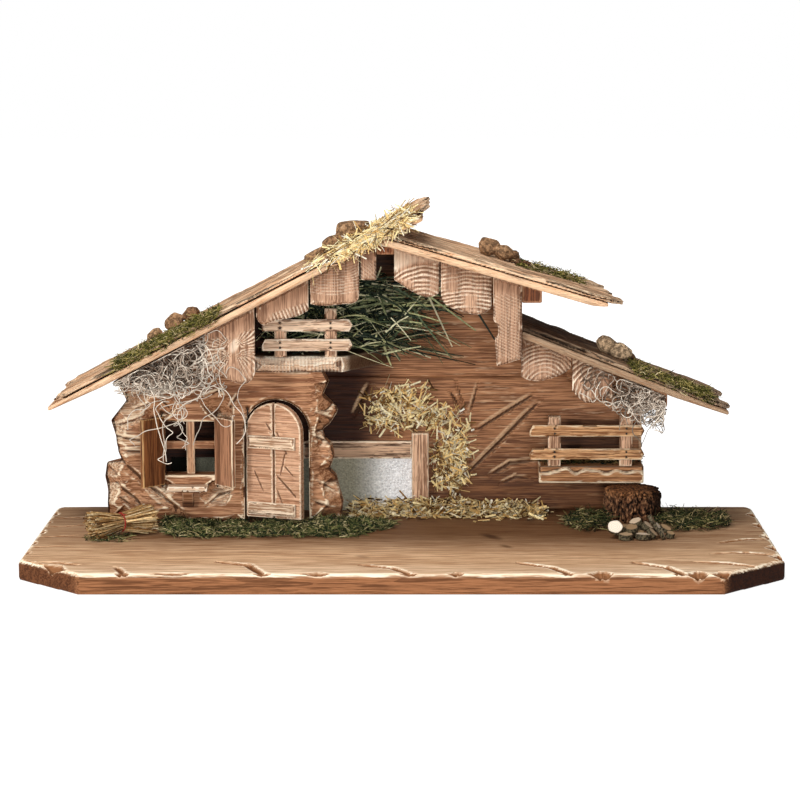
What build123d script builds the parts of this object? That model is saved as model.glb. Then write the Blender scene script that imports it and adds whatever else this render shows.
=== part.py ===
from build123d import *
import os
from math import cos, radians, sin, sqrt, tan

# Base board, with its two front corners clipped
base_length = 700
base_depth = 300
base_thickness = 19
corner_clip_length = 62.8
corner_clip_depth = 58.4
back_corner_radius = 12
base_edge_bevel = 3

# Back wall, two boards edge to edge, with a step down on the right
wall_setback = 2
wall_thickness = 15
wall_left_reach = 268
wall_right_reach = 237
wall_joint_drop = 14.6
step_reach = 113
step_drop = 52

# Roof: three slopes, each a board with split planks on it
roof_depth = 130
ridge_offset = 23.2
loft_headroom = 113.5
left_pitch = 27.4
upper_pitch = 16.1
lower_pitch = 21.3
board_thickness = 6.5
plank_thickness = 6.5
plank_gap = 0.8
eave_tip_thickness = 3.5
left_eave_run = 312
left_eave_taper = 55
left_overshoot = 43
upper_eave_run = 216
upper_eave_taper = 14
lower_eave_run = 197
lower_eave_taper = 55
lower_roof_setback = 14
plank_point = 16
ridge_point = 11
left_plank_width_shares = (0.36, 0.34, 0.30)
left_plank_end_shares = (0.94, 0.915, 0.944)
upper_plank_width_shares = (0.40, 0.32, 0.28)
upper_plank_end_shares = (0.998, 0.965, 0.94)
lower_plank_width_shares = (0.38, 0.33, 0.29)
lower_plank_end_shares = (0.934, 0.9, 0.94)

# Purlins that run from front to back under the roof boards
ridge_purlin_width = 17
ridge_purlin_lap = 1.8
ridge_purlin_height = 11
upper_purlin_width = 19
upper_purlin_height = 18
lower_purlin_width = 16
lower_purlin_height = 18.5
lower_purlin_setback = 6

# Carved trim boards that hang under the front edges of the roof
# Their lower edges are given as shares across each board and shares of the drop
trim_width = 48
trim_thickness = 8
trim_setback = 6
trim_gap = 1.8
trim_drop = 60
left_trim_width_shares = (0.985, 1.03, 0.963, 0.3)
right_trim_width_shares = (0.883, 0.99)
lower_trim_width_shares = (0.985, 0.8)
trim_edge_shares = (
    ((0, 0.56), (0.25, 0.76), (0.52, 0.97), (0.73, 1.11), (1, 1.05)),
    ((0, 0.16), (0.17, 0.36), (0.3, 0.37), (0.59, 0.44), (1, 0.48)),
    ((0, 0.4), (0.3, 0.55), (0.7, 0.68), (0.93, 0.74), (1, 0.66)),
    ((0, 0.43), (0.5, 0.5), (1, 0.56)),
    ((0, 0.5), (0.34, 0.59), (0.79, 0.61), (1, 0.5)),
    ((0, 0.48), (0.08, 0.65), (0.4, 0.69), (0.79, 0.65), (1, 0.5)),
    ((0.02, 0.69), (0.18, 0.76), (0.18, 0.91), (0.07, 0.97), (0.09, 1.13), (0.14, 1.41), (1, 1.17)),
    ((0, 0.62), (0.31, 0.6), (0.45, 0.545), (0.77, 0.37), (1, 0.185)),
    ((0, 0.54), (0.14, 0.6), (0.35, 0.64), (0.57, 0.54), (0.85, 0.44), (1, 0.4)),
)
tall_trim = 6

# House front on the left, with carved outer edges
house_setback = 52
house_thickness = 22
house_left_reach = 292
house_jamb = 32.9
left_carve = 21.6
right_carve = 20.1
left_edge_shares = (
    (0.11, 0), (0.15, 0.215), (0, 0.32), (0.07, 0.41), (0.54, 0.43), (0.83, 0.44),
    (0.66, 0.505), (0.56, 0.61), (0.32, 0.72), (1, 0.855), (0.65, 0.96),
)
right_edge_shares = (
    (0.96, 1), (0.67, 0.92), (0.96, 0.84), (0.38, 0.76), (0.25, 0.727), (0.64, 0.644), (1, 0.6),
    (0.89, 0.547), (0.57, 0.515), (0.42, 0.43), (0.66, 0.343), (0.34, 0.3), (0.19, 0.212),
    (0, 0.125), (0.12, 0),
)
side_wall_thickness = 12

# Arched door of two planks, standing ajar on its pivot pins
door_spacing = 84.1
door_opening_width = 63.3
door_opening_height = 120.9
door_hinge_gap = 2.4
door_latch_gap = 3.6
door_crown_gap = 2
door_foot_gap = 6
door_ajar = 20
leaf_thickness = 9
leaf_kerf = 2.2
batten_thickness = 4
batten_height = 12.5
batten_margin = 2.8
batten_end_margin = 5
batten_bevel = 1
upper_batten_rise = 80.7
lower_batten_rise = 15.3
door_pin_radius = 0.7
door_pin_inset = 1.6
door_pin_depth = 1.5
door_pin_hold = 8

# Window with a half-lapped cross, and its two shutters
window_inset = 84.35
window_width = 51.3
window_height = 53
window_sill_height = 46.7
bar_width = 7.8
bar_depth = 6
bar_setback = 7
transom_share = 0.54
shutter_height = 67
shutter_foot_height = 38.3
shutter_thickness = 5
shutter_wall_gap = 0.4
shutter_lap = 1
shutter_meeting_gap = 0.6
shutter_open = 133
shutter_bevel = 0.8
pintle_radius = 0.7
pintle_hold = 7
pintle_rise = 1.8
pintle_drive = 8

# Window ledge on its bracket
ledge_length = 39
ledge_depth = 14
ledge_thickness = 4.8
ledge_shift = 2
ledge_shutter_gap = 0.5
bracket_width = 11
bracket_height = 17
bracket_depth = 10
bracket_foot_depth = 4

# Plaster field at the back with its wooden rail and post
plaster_left_reach = 232
plaster_thickness = 4
plaster_height = 53
plaster_rail_left_reach = 100
plaster_rail_height = 17.5
plaster_rail_thickness = 8
plaster_post_offset = 7.8
plaster_post_width = 16.8
plaster_post_height = 79.3
plaster_post_thickness = 12

# Hay loft over the house
loft_height = 164
loft_thickness = 15
loft_nose = 8
loft_left_reach = 144.2
loft_front_right_reach = 61
loft_back_right_reach = 12
loft_post_width = 11.5
loft_post_depth = 8
loft_post_height = 47
loft_post_inset = 26
loft_post_spacing = 48.5
loft_rail_height = 11.5
loft_rail_length = 87
loft_rail_overhang = 8.5
loft_lower_rail_rise = 12.5
loft_upper_rail_rise = 31.5

# Balcony on the right part of the back wall
shelf_height = 49.5
shelf_thickness = 17
shelf_depth = 30
shelf_length = 103.5
balcony_post_width = 12.5
balcony_post_depth = 7
balcony_post_height = 50
balcony_post_inset = 15
balcony_post_spacing = 70.5
balcony_rail_height = 11
balcony_rail_length = 113
balcony_rail_overhang = 9.5
balcony_lower_rail_rise = 12.7
balcony_upper_rail_rise = 36

# Rails and the nails that hold them to their posts
rail_thickness = 5
rail_point = 3
nail_side_count = 6
nail_radius = 0.6
nail_head_radius = 1.1
nail_head_height = 0.5
nail_bite = 4
nail_spread = 5

# Tree stump with a pile of log slices before it
stump_side_inset = 12
stump_wall_gap = 9
stump_side_count = 16
stump_height = 30.5
stump_radius = 31
stump_top_radius = 29
slice_radius = 8
slice_thickness = 5.5
slice_gap = 0.5
slice_side_count = 12
slice_pile_shift = 1
slice_pile_reach = 89
slice_row_count = 3

# Straw sheaf, drawn in at its tie
sheaf_x = -268
sheaf_reach = 62
sheaf_side_count = 12
sheaf_length = 72
sheaf_angle = 35
sheaf_end_radius = 13.5
sheaf_waist_radius = 6.5
tie_width = 3
tie_thickness = 0.8

# Moss, hay, straw, lichen and stones
house_moss_length = 218
house_moss_depth = 78
house_moss_thickness = 5
stump_moss_thickness = 6
stump_moss_length = 62
roof_moss_thickness = 4
balcony_moss_height = 20
hay_length = 215
hay_height = 74
straw_thickness = 3
wall_straw_thickness = 5
wall_straw_width = 126
wall_straw_rise = 46
wall_straw_fall = 61
floor_straw_left_reach = 34
floor_straw_length = 185
floor_straw_depth = 33
ridge_straw_length = 78
ridge_straw_width = 66
lichen_thickness = 12
lichen_left_length = 80
lichen_right_length = 33
lichen_hang = 50
stone_length = 20
stone_height = 9
stone_taper = 25
stone_outline_shares = ((-0.5, -0.1), (-0.2, -0.36), (0.26, -0.32), (0.5, 0.06), (0.2, 0.36), (-0.3, 0.3))
house_moss_shares = (
    (0, 1), (0.05, 0.5), (0.14, 0.06), (0.4, 0), (0.75, 0), (0.96, 0.3), (1, 0.68), (0.83, 1),
)
stump_moss_shares = ((0, 0.9), (0.05, 0.1), (0.5, 0), (1, 0.25), (0.85, 0.8), (0.4, 1))
roof_moss_outline_shares = ((0, 0.2), (0.3, 0), (0.8, 0.05), (1, 0.4), (0.7, 0.9), (0.2, 1))
hay_shares = ((0, 0), (0.55, 0), (0.92, 0.36), (1, 0.66), (0.72, 1), (0.38, 0.98), (0, 0.6))
wall_straw_shares = ((-0.48, 0.1), (-0.6, 0.66), (-0.22, 1), (0.06, 0.6), (0.3, 0.2))
wall_straw_tail_share = 0.33
lichen_shares = ((0.96, 0.65), (0.7, 1), (0.3, 0.92), (0.04, 0.55))

# Clearances
running_clearance = 0.06
press_clearance = 0.02
pin_end_gap = 0.6
soft_gap = 0.4
overrun = 5

# Levels and depth planes
deck = base_thickness
wall_back_y = base_depth / 2 - wall_setback
wall_front_y = wall_back_y - wall_thickness
roof_front_y = wall_back_y - roof_depth
lower_roof_front_y = roof_front_y + lower_roof_setback
trim_front_y = roof_front_y + trim_setback
trim_back_y = trim_front_y + trim_thickness
house_front_y = roof_front_y + house_setback
house_back_y = house_front_y + house_thickness
loft_top = deck + loft_height
loft_bottom = loft_top - loft_thickness
shelf_top = deck + shelf_height
shelf_front_y = wall_front_y - shelf_depth
ridge_x = -ridge_offset
ridge_z = loft_top + loft_headroom
house_left_x = -house_left_reach
window_x = house_left_x + window_inset
door_x = window_x + door_spacing
house_right_x = door_x + door_opening_width / 2 + house_jamb
loft_left_x = -loft_left_reach


def left_under(x):
    return ridge_z + (x - ridge_x) * tan(radians(left_pitch))


def upper_under(x):
    return ridge_z - (x - ridge_x) * tan(radians(upper_pitch))


def lower_under(x):
    return upper_under(step_reach) - step_drop - (x - step_reach) * tan(radians(lower_pitch))


# Slope planes under the boards: local X runs along the slope to the right, local Y runs back
left_slope = Plane(
    origin=(ridge_x, roof_front_y, ridge_z),
    x_dir=(cos(radians(left_pitch)), 0, sin(radians(left_pitch))),
    z_dir=(-sin(radians(left_pitch)), 0, cos(radians(left_pitch))),
)
upper_slope = Plane(
    origin=(ridge_x, roof_front_y, ridge_z),
    x_dir=(cos(radians(upper_pitch)), 0, -sin(radians(upper_pitch))),
    z_dir=(sin(radians(upper_pitch)), 0, cos(radians(upper_pitch))),
)
lower_slope = Plane(
    origin=(step_reach, lower_roof_front_y, lower_under(step_reach)),
    x_dir=(cos(radians(lower_pitch)), 0, -sin(radians(lower_pitch))),
    z_dir=(sin(radians(lower_pitch)), 0, cos(radians(lower_pitch))),
)
left_eave_length = left_eave_run / cos(radians(left_pitch))
left_overshoot_length = left_overshoot / cos(radians(left_pitch))
upper_eave_length = upper_eave_run / cos(radians(upper_pitch))
lower_eave_length = lower_eave_run / cos(radians(lower_pitch))
lower_roof_depth = wall_back_y - lower_roof_front_y
step_plane = Plane(origin=(step_reach, 0, 0), z_dir=(-1, 0, 0))


def upright(y):
    return Plane.XZ.offset(-y)


# A point of a slope's upright section, along the slope and above its plane
def slope_point(slope, along, up):
    point = slope.from_local_coords((along, 0, up))
    return point.X, point.Z


def slab(points, plane, depth):
    with BuildPart() as block:
        with BuildSketch(plane):
            with BuildLine():
                Polyline(*points, close=True)
            make_face()
        extrude(amount=depth)
    return block


def save(block, name):
    block.part.label = name
    export_step(block.part, f"parts/{name}.step")


os.makedirs("parts", exist_ok=True)

# Hinge axes: the door turns in the plane of the wall face, the shutters turn just in front of it
door_radius = door_opening_width / 2
door_left_x = door_x - door_radius
door_spring_z = deck + door_opening_height - door_radius
door_axis_x = door_left_x + door_hinge_gap + door_pin_inset
door_axis_y = house_front_y + door_pin_depth
door_soffit_z = door_spring_z + sqrt(door_radius**2 - (door_axis_x - door_x) ** 2)
leaf_width = door_opening_width - door_hinge_gap - door_latch_gap
leaf_radius = leaf_width / 2
leaf_left = -door_pin_inset
leaf_middle = leaf_left + leaf_radius
leaf_crown = door_opening_height - door_crown_gap
leaf_spring = leaf_crown - leaf_radius
leaf_pivot_top_z = deck + leaf_spring + sqrt(leaf_radius**2 - leaf_middle**2)
window_bottom_z = deck + window_sill_height
window_middle_z = window_bottom_z + window_height / 2
shutter_foot_z = deck + shutter_foot_height
shutter_top_z = shutter_foot_z + shutter_height
shutter_axis_y = house_front_y - shutter_wall_gap - shutter_thickness / 2
shutter_half_span = window_width / 2 + shutter_lap
shutter_width = shutter_half_span - shutter_meeting_gap / 2
shutter_axes = (window_x - shutter_half_span, window_x + shutter_half_span)
pintle_levels = (shutter_foot_z - pintle_rise, shutter_top_z + pintle_rise)

# Base board
with BuildPart() as base_board:
    with BuildSketch():
        with BuildLine():
            Polyline(
                (-base_length / 2, base_depth / 2),
                (-base_length / 2, corner_clip_depth - base_depth / 2),
                (corner_clip_length - base_length / 2, -base_depth / 2),
                (base_length / 2 - corner_clip_length, -base_depth / 2),
                (base_length / 2, corner_clip_depth - base_depth / 2),
                (base_length / 2, base_depth / 2),
                close=True,
            )
        make_face()
    extrude(amount=base_thickness)
    fillet(base_board.edges().filter_by(Axis.Z).group_by(Axis.Y)[-1], radius=back_corner_radius)
    chamfer(base_board.faces().sort_by(Axis.Z)[-1].edges(), length=base_edge_bevel)
    with BuildSketch(Plane.XY.offset(deck)):
        with Locations((door_axis_x, door_axis_y)):
            Circle(door_pin_radius + press_clearance)
    extrude(amount=-door_pin_hold, mode=Mode.SUBTRACT)
save(base_board, "base_board")

# Back wall: the outline follows the roof, and the joint between its boards is level
wall_points = (
    (-wall_left_reach, deck),
    (wall_right_reach, deck),
    (wall_right_reach, lower_under(wall_right_reach)),
    (step_reach, lower_under(step_reach)),
    (step_reach, upper_under(step_reach)),
    (ridge_x, ridge_z),
    (-wall_left_reach, left_under(-wall_left_reach)),
)
for wall_name, kept_side in (("back_wall_lower", Keep.BOTTOM), ("back_wall_upper", Keep.TOP)):
    with BuildPart() as wall_board:
        with BuildSketch(upright(wall_front_y)):
            with BuildLine():
                Polyline(*wall_points, close=True)
            make_face()
        extrude(amount=-wall_thickness)
        split(bisect_by=Plane.XY.offset(loft_bottom - wall_joint_drop), keep=kept_side)
    save(wall_board, wall_name)

# House front
left_edge_height = left_under(house_left_x) - deck
right_edge_height = loft_bottom - deck
house_points = [
    (house_left_x + inset * left_carve, deck + rise * left_edge_height)
    for inset, rise in left_edge_shares
]
house_corner_x = house_points[-1][0]
house_points.append((house_corner_x, left_under(house_corner_x)))
house_points.append((loft_left_x, left_under(loft_left_x)))
house_points.append((loft_left_x, loft_bottom))
house_points += [
    (house_right_x - inset * right_carve, deck + rise * right_edge_height)
    for inset, rise in right_edge_shares
]
with BuildPart() as house_front:
    with BuildSketch(upright(house_front_y)):
        with BuildLine():
            Polyline(*house_points, close=True)
        make_face()
        with BuildLine():
            Polyline((door_left_x, door_spring_z), (door_left_x, deck - overrun))
            Line((door_left_x, deck - overrun), (door_x + door_radius, deck - overrun))
            Line((door_x + door_radius, deck - overrun), (door_x + door_radius, door_spring_z))
            ThreePointArc(
                (door_x + door_radius, door_spring_z),
                (door_x, door_spring_z + door_radius),
                (door_left_x, door_spring_z),
            )
        make_face(mode=Mode.SUBTRACT)
        with Locations((window_x, window_middle_z)):
            Rectangle(window_width, window_height, mode=Mode.SUBTRACT)
    extrude(amount=-house_thickness)
    with BuildSketch(upright(house_front_y)):
        for axis_x in shutter_axes:
            for level in pintle_levels:
                with Locations((axis_x, level)):
                    Circle(pintle_radius + press_clearance)
    extrude(amount=-pintle_drive, mode=Mode.SUBTRACT)
    with BuildSketch(Plane.XY.offset(door_soffit_z + door_pin_hold)):
        with Locations((door_axis_x, door_axis_y)):
            Circle(door_pin_radius + press_clearance)
    extrude(amount=-door_pin_hold - overrun, mode=Mode.SUBTRACT)
save(house_front, "house_front")

# Side wall that closes the house on the left, from the front to the back wall
side_wall_x = -wall_left_reach + side_wall_thickness
house_side_wall = slab(
    (
        (-wall_left_reach, deck),
        (side_wall_x, deck),
        (side_wall_x, left_under(side_wall_x)),
        (-wall_left_reach, left_under(-wall_left_reach)),
    ),
    upright(house_back_y),
    house_back_y - wall_front_y,
)
save(house_side_wall, "house_side_wall")

# Door leaf: local X runs from the hinge to the free edge, local Y is up, the normal points outside
door_plane = Plane(
    origin=(door_axis_x, door_axis_y, deck),
    x_dir=(cos(radians(door_ajar)), -sin(radians(door_ajar)), 0),
    z_dir=(-sin(radians(door_ajar)), -cos(radians(door_ajar)), 0),
)
leaf_face = door_plane.offset(door_pin_depth)
outward_axis = Axis(door_plane.origin, door_plane.z_dir)
plank_span = (leaf_width - leaf_kerf) / 2
pin_holes = (
    (deck + door_foot_gap, door_pin_hold),
    (leaf_pivot_top_z - door_pin_hold, door_pin_hold + overrun),
)
for plank_name, plank_start, plank_holes in (
    ("door_plank_left", leaf_left, pin_holes),
    ("door_plank_right", leaf_middle + leaf_kerf / 2, ()),
):
    with BuildPart() as door_plank:
        with BuildSketch(leaf_face):
            with BuildLine():
                Polyline(
                    (leaf_left, leaf_spring),
                    (leaf_left, door_foot_gap),
                    (leaf_left + leaf_width, door_foot_gap),
                    (leaf_left + leaf_width, leaf_spring),
                )
                ThreePointArc(
                    (leaf_left + leaf_width, leaf_spring),
                    (leaf_middle, leaf_crown),
                    (leaf_left, leaf_spring),
                )
            make_face()
            with Locations((plank_start, 0)):
                Rectangle(
                    plank_span, leaf_crown + overrun, align=(Align.MIN, Align.MIN), mode=Mode.INTERSECT
                )
        extrude(amount=-leaf_thickness)
        for hole_level, hole_depth in plank_holes:
            with BuildSketch(Plane.XY.offset(hole_level)):
                with Locations((door_axis_x, door_axis_y)):
                    Circle(door_pin_radius + running_clearance)
            extrude(amount=hole_depth, mode=Mode.SUBTRACT)
    save(door_plank, plank_name)

batten_length = leaf_width - batten_margin - batten_end_margin
for batten_name, batten_rise in (
    ("door_batten_upper", upper_batten_rise),
    ("door_batten_lower", lower_batten_rise),
):
    with BuildPart() as door_batten:
        with BuildSketch(leaf_face):
            with Locations((leaf_left + batten_margin, batten_rise)):
                Rectangle(batten_length, batten_height, align=(Align.MIN, Align.CENTER))
        extrude(amount=batten_thickness)
        chamfer(door_batten.faces().sort_by(outward_axis)[-1].edges(), length=batten_bevel)
    save(door_batten, batten_name)

# Pivot pins: one stands in the base board, one hangs in the arch
with BuildPart() as door_pivot_pins:
    with BuildSketch(Plane.XY.offset(deck - door_pin_hold)):
        with Locations((door_axis_x, door_axis_y)):
            Circle(door_pin_radius)
    extrude(amount=door_pin_hold + door_foot_gap + door_pin_hold - pin_end_gap)
    with BuildSketch(Plane.XY.offset(leaf_pivot_top_z - door_pin_hold + pin_end_gap)):
        with Locations((door_axis_x, door_axis_y)):
            Circle(door_pin_radius)
    extrude(amount=door_soffit_z - leaf_pivot_top_z + door_pin_hold + door_pin_hold - pin_end_gap)
save(door_pivot_pins, "door_pivot_pins")

# Window cross: the mullion is notched at the back, the transom at the front
bar_front_y = house_front_y + bar_setback
transom_z = window_bottom_z + window_height * transom_share
with BuildPart() as window_mullion:
    with BuildSketch(upright(bar_front_y)):
        with Locations((window_x, window_middle_z)):
            Rectangle(bar_width, window_height)
    extrude(amount=-bar_depth)
    with BuildSketch(upright(bar_front_y + bar_depth / 2)):
        with Locations((window_x, transom_z)):
            Rectangle(bar_width, bar_width)
    extrude(amount=-bar_depth, mode=Mode.SUBTRACT)
save(window_mullion, "window_mullion")

with BuildPart() as window_transom:
    with BuildSketch(upright(bar_front_y)):
        with Locations((window_x, transom_z)):
            Rectangle(window_width, bar_width)
    extrude(amount=-bar_depth)
    with BuildSketch(upright(bar_front_y + bar_depth / 2)):
        with Locations((window_x, transom_z)):
            Rectangle(bar_width, bar_width)
    extrude(amount=bar_depth, mode=Mode.SUBTRACT)
save(window_transom, "window_transom")

# Shutters: a rounded hinge edge turns on the pintles, the board reaches to the middle of the window
for shutter_name, axis_x, side in (
    ("shutter_left", shutter_axes[0], 1),
    ("shutter_right", shutter_axes[1], -1),
):
    shutter_plane = Plane(
        origin=(axis_x, shutter_axis_y, shutter_foot_z),
        x_dir=(side * cos(radians(shutter_open)), -sin(radians(shutter_open)), 0),
        z_dir=(0, 0, 1),
    )
    with BuildPart() as shutter:
        with BuildSketch(shutter_plane):
            Circle(shutter_thickness / 2)
            Rectangle(shutter_width, shutter_thickness, align=(Align.MIN, Align.CENTER))
        extrude(amount=shutter_height)
        upright_edges = shutter.edges().filter_by(Axis.Z)
        free_edges = upright_edges.sort_by_distance(shutter_plane.origin)[-2:]
        chamfer(free_edges, length=shutter_bevel)
        with BuildSketch(shutter_plane):
            Circle(pintle_radius + running_clearance)
        extrude(amount=pintle_hold, mode=Mode.SUBTRACT)
        with BuildSketch(shutter_plane.offset(shutter_height)):
            Circle(pintle_radius + running_clearance)
        extrude(amount=-pintle_hold, mode=Mode.SUBTRACT)
    save(shutter, shutter_name)

# Pintles: bent wires, one leg in the shutter and one driven into the wall
with BuildPart() as shutter_pintles:
    for axis_x in shutter_axes:
        for level, reach in ((pintle_levels[0], 1), (pintle_levels[1], -1)):
            leg_end = level + reach * (pintle_rise + pintle_hold - pin_end_gap)
            with BuildLine() as wire:
                Polyline(
                    (axis_x, shutter_axis_y, leg_end),
                    (axis_x, shutter_axis_y, level),
                    (axis_x, house_front_y + pintle_drive, level),
                )
            with BuildSketch(Plane(origin=(axis_x, shutter_axis_y, leg_end), z_dir=(0, 0, -reach))):
                Circle(pintle_radius)
            sweep(path=wire.line, transition=Transition.RIGHT)
save(shutter_pintles, "shutter_pintles")

# Window ledge, clear of the shutters, and its tapered bracket
ledge_top = shutter_foot_z - ledge_shutter_gap
ledge_x = window_x - ledge_shift
with BuildPart() as window_ledge:
    with BuildSketch(Plane.XY.offset(ledge_top)):
        with Locations((ledge_x, house_front_y)):
            Rectangle(ledge_length, ledge_depth, align=(Align.CENTER, Align.MAX))
    extrude(amount=-ledge_thickness)
save(window_ledge, "window_ledge")

bracket_top = ledge_top - ledge_thickness
with BuildPart() as ledge_bracket:
    with BuildSketch(Plane.YZ.offset(ledge_x - bracket_width / 2)):
        with BuildLine():
            Polyline(
                (house_front_y, bracket_top),
                (house_front_y - bracket_depth, bracket_top),
                (house_front_y - bracket_foot_depth, bracket_top - bracket_height),
                (house_front_y, bracket_top - bracket_height),
                close=True,
            )
        make_face()
    extrude(amount=bracket_width)
save(ledge_bracket, "ledge_bracket")

# Plaster field, rail and post against the back wall
plaster_post_right_x = plaster_post_offset + plaster_post_width
plaster_top = deck + plaster_height
plaster_panel = slab(
    (
        (-plaster_left_reach, deck),
        (plaster_post_offset, deck),
        (plaster_post_offset, plaster_top),
        (-plaster_left_reach, plaster_top),
    ),
    upright(wall_front_y),
    plaster_thickness,
)
save(plaster_panel, "plaster_panel")

plaster_rail_top = plaster_top + plaster_rail_height
plaster_rail = slab(
    (
        (-plaster_rail_left_reach, plaster_top),
        (plaster_post_offset, plaster_top),
        (plaster_post_offset, plaster_rail_top),
        (-plaster_rail_left_reach, plaster_rail_top),
    ),
    upright(wall_front_y),
    plaster_rail_thickness,
)
save(plaster_rail, "plaster_rail")

plaster_post_top = deck + plaster_post_height
plaster_post = slab(
    (
        (plaster_post_offset, deck),
        (plaster_post_right_x, deck),
        (plaster_post_right_x, plaster_post_top),
        (plaster_post_offset, plaster_post_top),
    ),
    upright(wall_front_y),
    plaster_post_thickness,
)
save(plaster_post, "plaster_post")

# Loft floor: its right edge runs back at a slant
loft_front_y = house_front_y - loft_nose
loft_floor = slab(
    (
        (loft_left_x, loft_front_y),
        (-loft_front_right_reach, loft_front_y),
        (-loft_back_right_reach, wall_front_y),
        (loft_left_x, wall_front_y),
    ),
    Plane.XY.offset(loft_bottom),
    loft_thickness,
)
save(loft_floor, "loft_floor")

# Balcony shelf against the back wall
shelf_left_x = wall_right_reach - shelf_length
balcony_shelf = slab(
    (
        (shelf_left_x, shelf_front_y),
        (wall_right_reach, shelf_front_y),
        (wall_right_reach, wall_front_y),
        (shelf_left_x, wall_front_y),
    ),
    Plane.XY.offset(shelf_top),
    -shelf_thickness,
)
save(balcony_shelf, "balcony_shelf")

# Posts stand on the floor they guard, rails are nailed across the front of the posts
loft_post_x = [loft_left_x + loft_post_inset + step * loft_post_spacing for step in range(2)]
balcony_post_x = [shelf_left_x + balcony_post_inset + step * balcony_post_spacing for step in range(2)]
loft_rail_z = [loft_top + loft_lower_rail_rise, loft_top + loft_upper_rail_rise]
balcony_rail_z = [shelf_top + balcony_lower_rail_rise, shelf_top + balcony_upper_rail_rise]
loft_nail_places = [
    (x, z + side * nail_spread / 2) for x in loft_post_x for z in loft_rail_z for side in (-1, 1)
]
balcony_nail_places = [
    (x, z + side * nail_spread / 2) for x in balcony_post_x for z in balcony_rail_z for side in (-1, 1)
]


def make_posts(centres, front_y, foot_z, width, depth, height, nail_places):
    with BuildPart() as posts:
        with BuildSketch(upright(front_y)):
            for centre in centres:
                with Locations((centre, foot_z)):
                    Rectangle(width, height, align=(Align.CENTER, Align.MIN))
        extrude(amount=-depth)
        with BuildSketch(upright(front_y)):
            with Locations(*nail_places):
                RegularPolygon(nail_radius + press_clearance, nail_side_count)
        extrude(amount=-nail_bite, mode=Mode.SUBTRACT)
    return posts


def make_rail(left_x, length, middle_z, height, front_y, nail_places):
    with BuildPart() as rail:
        with BuildSketch(upright(front_y)):
            with BuildLine():
                Polyline(
                    (left_x, middle_z - height / 2),
                    (left_x + length - rail_point, middle_z - height / 2),
                    (left_x + length, middle_z),
                    (left_x + length - rail_point, middle_z + height / 2),
                    (left_x + rail_point, middle_z + height / 2),
                    (left_x, middle_z),
                    close=True,
                )
            make_face()
            with Locations(*nail_places):
                RegularPolygon(nail_radius + press_clearance, nail_side_count, mode=Mode.SUBTRACT)
        extrude(amount=-rail_thickness)
    return rail


loft_posts = make_posts(
    loft_post_x,
    loft_front_y,
    loft_top,
    loft_post_width,
    loft_post_depth,
    loft_post_height,
    loft_nail_places,
)
save(loft_posts, "loft_posts")
balcony_posts = make_posts(
    balcony_post_x,
    shelf_front_y,
    shelf_top,
    balcony_post_width,
    balcony_post_depth,
    balcony_post_height,
    balcony_nail_places,
)
save(balcony_posts, "balcony_posts")

loft_rail_front_y = loft_front_y - rail_thickness
balcony_rail_front_y = shelf_front_y - rail_thickness
for level_name, loft_z, balcony_z in zip(("lower", "upper"), loft_rail_z, balcony_rail_z):
    loft_rail = make_rail(
        loft_left_x + loft_rail_overhang,
        loft_rail_length,
        loft_z,
        loft_rail_height,
        loft_rail_front_y,
        loft_nail_places,
    )
    save(loft_rail, f"loft_rail_{level_name}")
    balcony_rail = make_rail(
        shelf_left_x - balcony_rail_overhang,
        balcony_rail_length,
        balcony_z,
        balcony_rail_height,
        balcony_rail_front_y,
        balcony_nail_places,
    )
    save(balcony_rail, f"balcony_rail_{level_name}")

with BuildPart() as rail_nails:
    for front_y, places in (
        (loft_rail_front_y, loft_nail_places),
        (balcony_rail_front_y, balcony_nail_places),
    ):
        with BuildSketch(upright(front_y)):
            with Locations(*places):
                RegularPolygon(nail_radius, nail_side_count)
        extrude(amount=-rail_thickness - nail_bite)
        with BuildSketch(upright(front_y)):
            with Locations(*places):
                RegularPolygon(nail_head_radius, nail_side_count)
        extrude(amount=nail_head_height)
save(rail_nails, "rail_nails")

# Roof boards: the upper board butts under the left one at the ridge, the lower one butts the wall's step
ridge_rise = tan(radians(upper_pitch)) + tan(radians(left_pitch))
ridge_cut = board_thickness / cos(radians(upper_pitch)) / ridge_rise
eave_tip_rise = board_thickness - eave_tip_thickness
left_roof_board = slab(
    (
        slope_point(left_slope, -left_eave_length, eave_tip_rise),
        slope_point(left_slope, left_eave_taper - left_eave_length, 0),
        slope_point(left_slope, left_overshoot_length, 0),
        slope_point(left_slope, left_overshoot_length, board_thickness),
        slope_point(left_slope, -left_eave_length, board_thickness),
    ),
    upright(roof_front_y),
    -roof_depth,
)
save(left_roof_board, "left_roof_board")

upper_roof_board = slab(
    (
        (ridge_x, ridge_z),
        slope_point(upper_slope, upper_eave_length - upper_eave_taper, 0),
        slope_point(upper_slope, upper_eave_length, eave_tip_rise),
        slope_point(upper_slope, upper_eave_length, board_thickness),
        (ridge_x + ridge_cut, left_under(ridge_x + ridge_cut)),
    ),
    upright(roof_front_y),
    -roof_depth,
)
save(upper_roof_board, "upper_roof_board")

lower_roof_board = slab(
    (
        (step_reach, lower_under(step_reach)),
        slope_point(lower_slope, lower_eave_length - lower_eave_taper, 0),
        slope_point(lower_slope, lower_eave_length, eave_tip_rise),
        slope_point(lower_slope, lower_eave_length, board_thickness),
        (step_reach, lower_under(step_reach) + board_thickness / cos(radians(lower_pitch))),
    ),
    upright(lower_roof_front_y),
    -lower_roof_depth,
)
save(lower_roof_board, "lower_roof_board")


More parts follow.
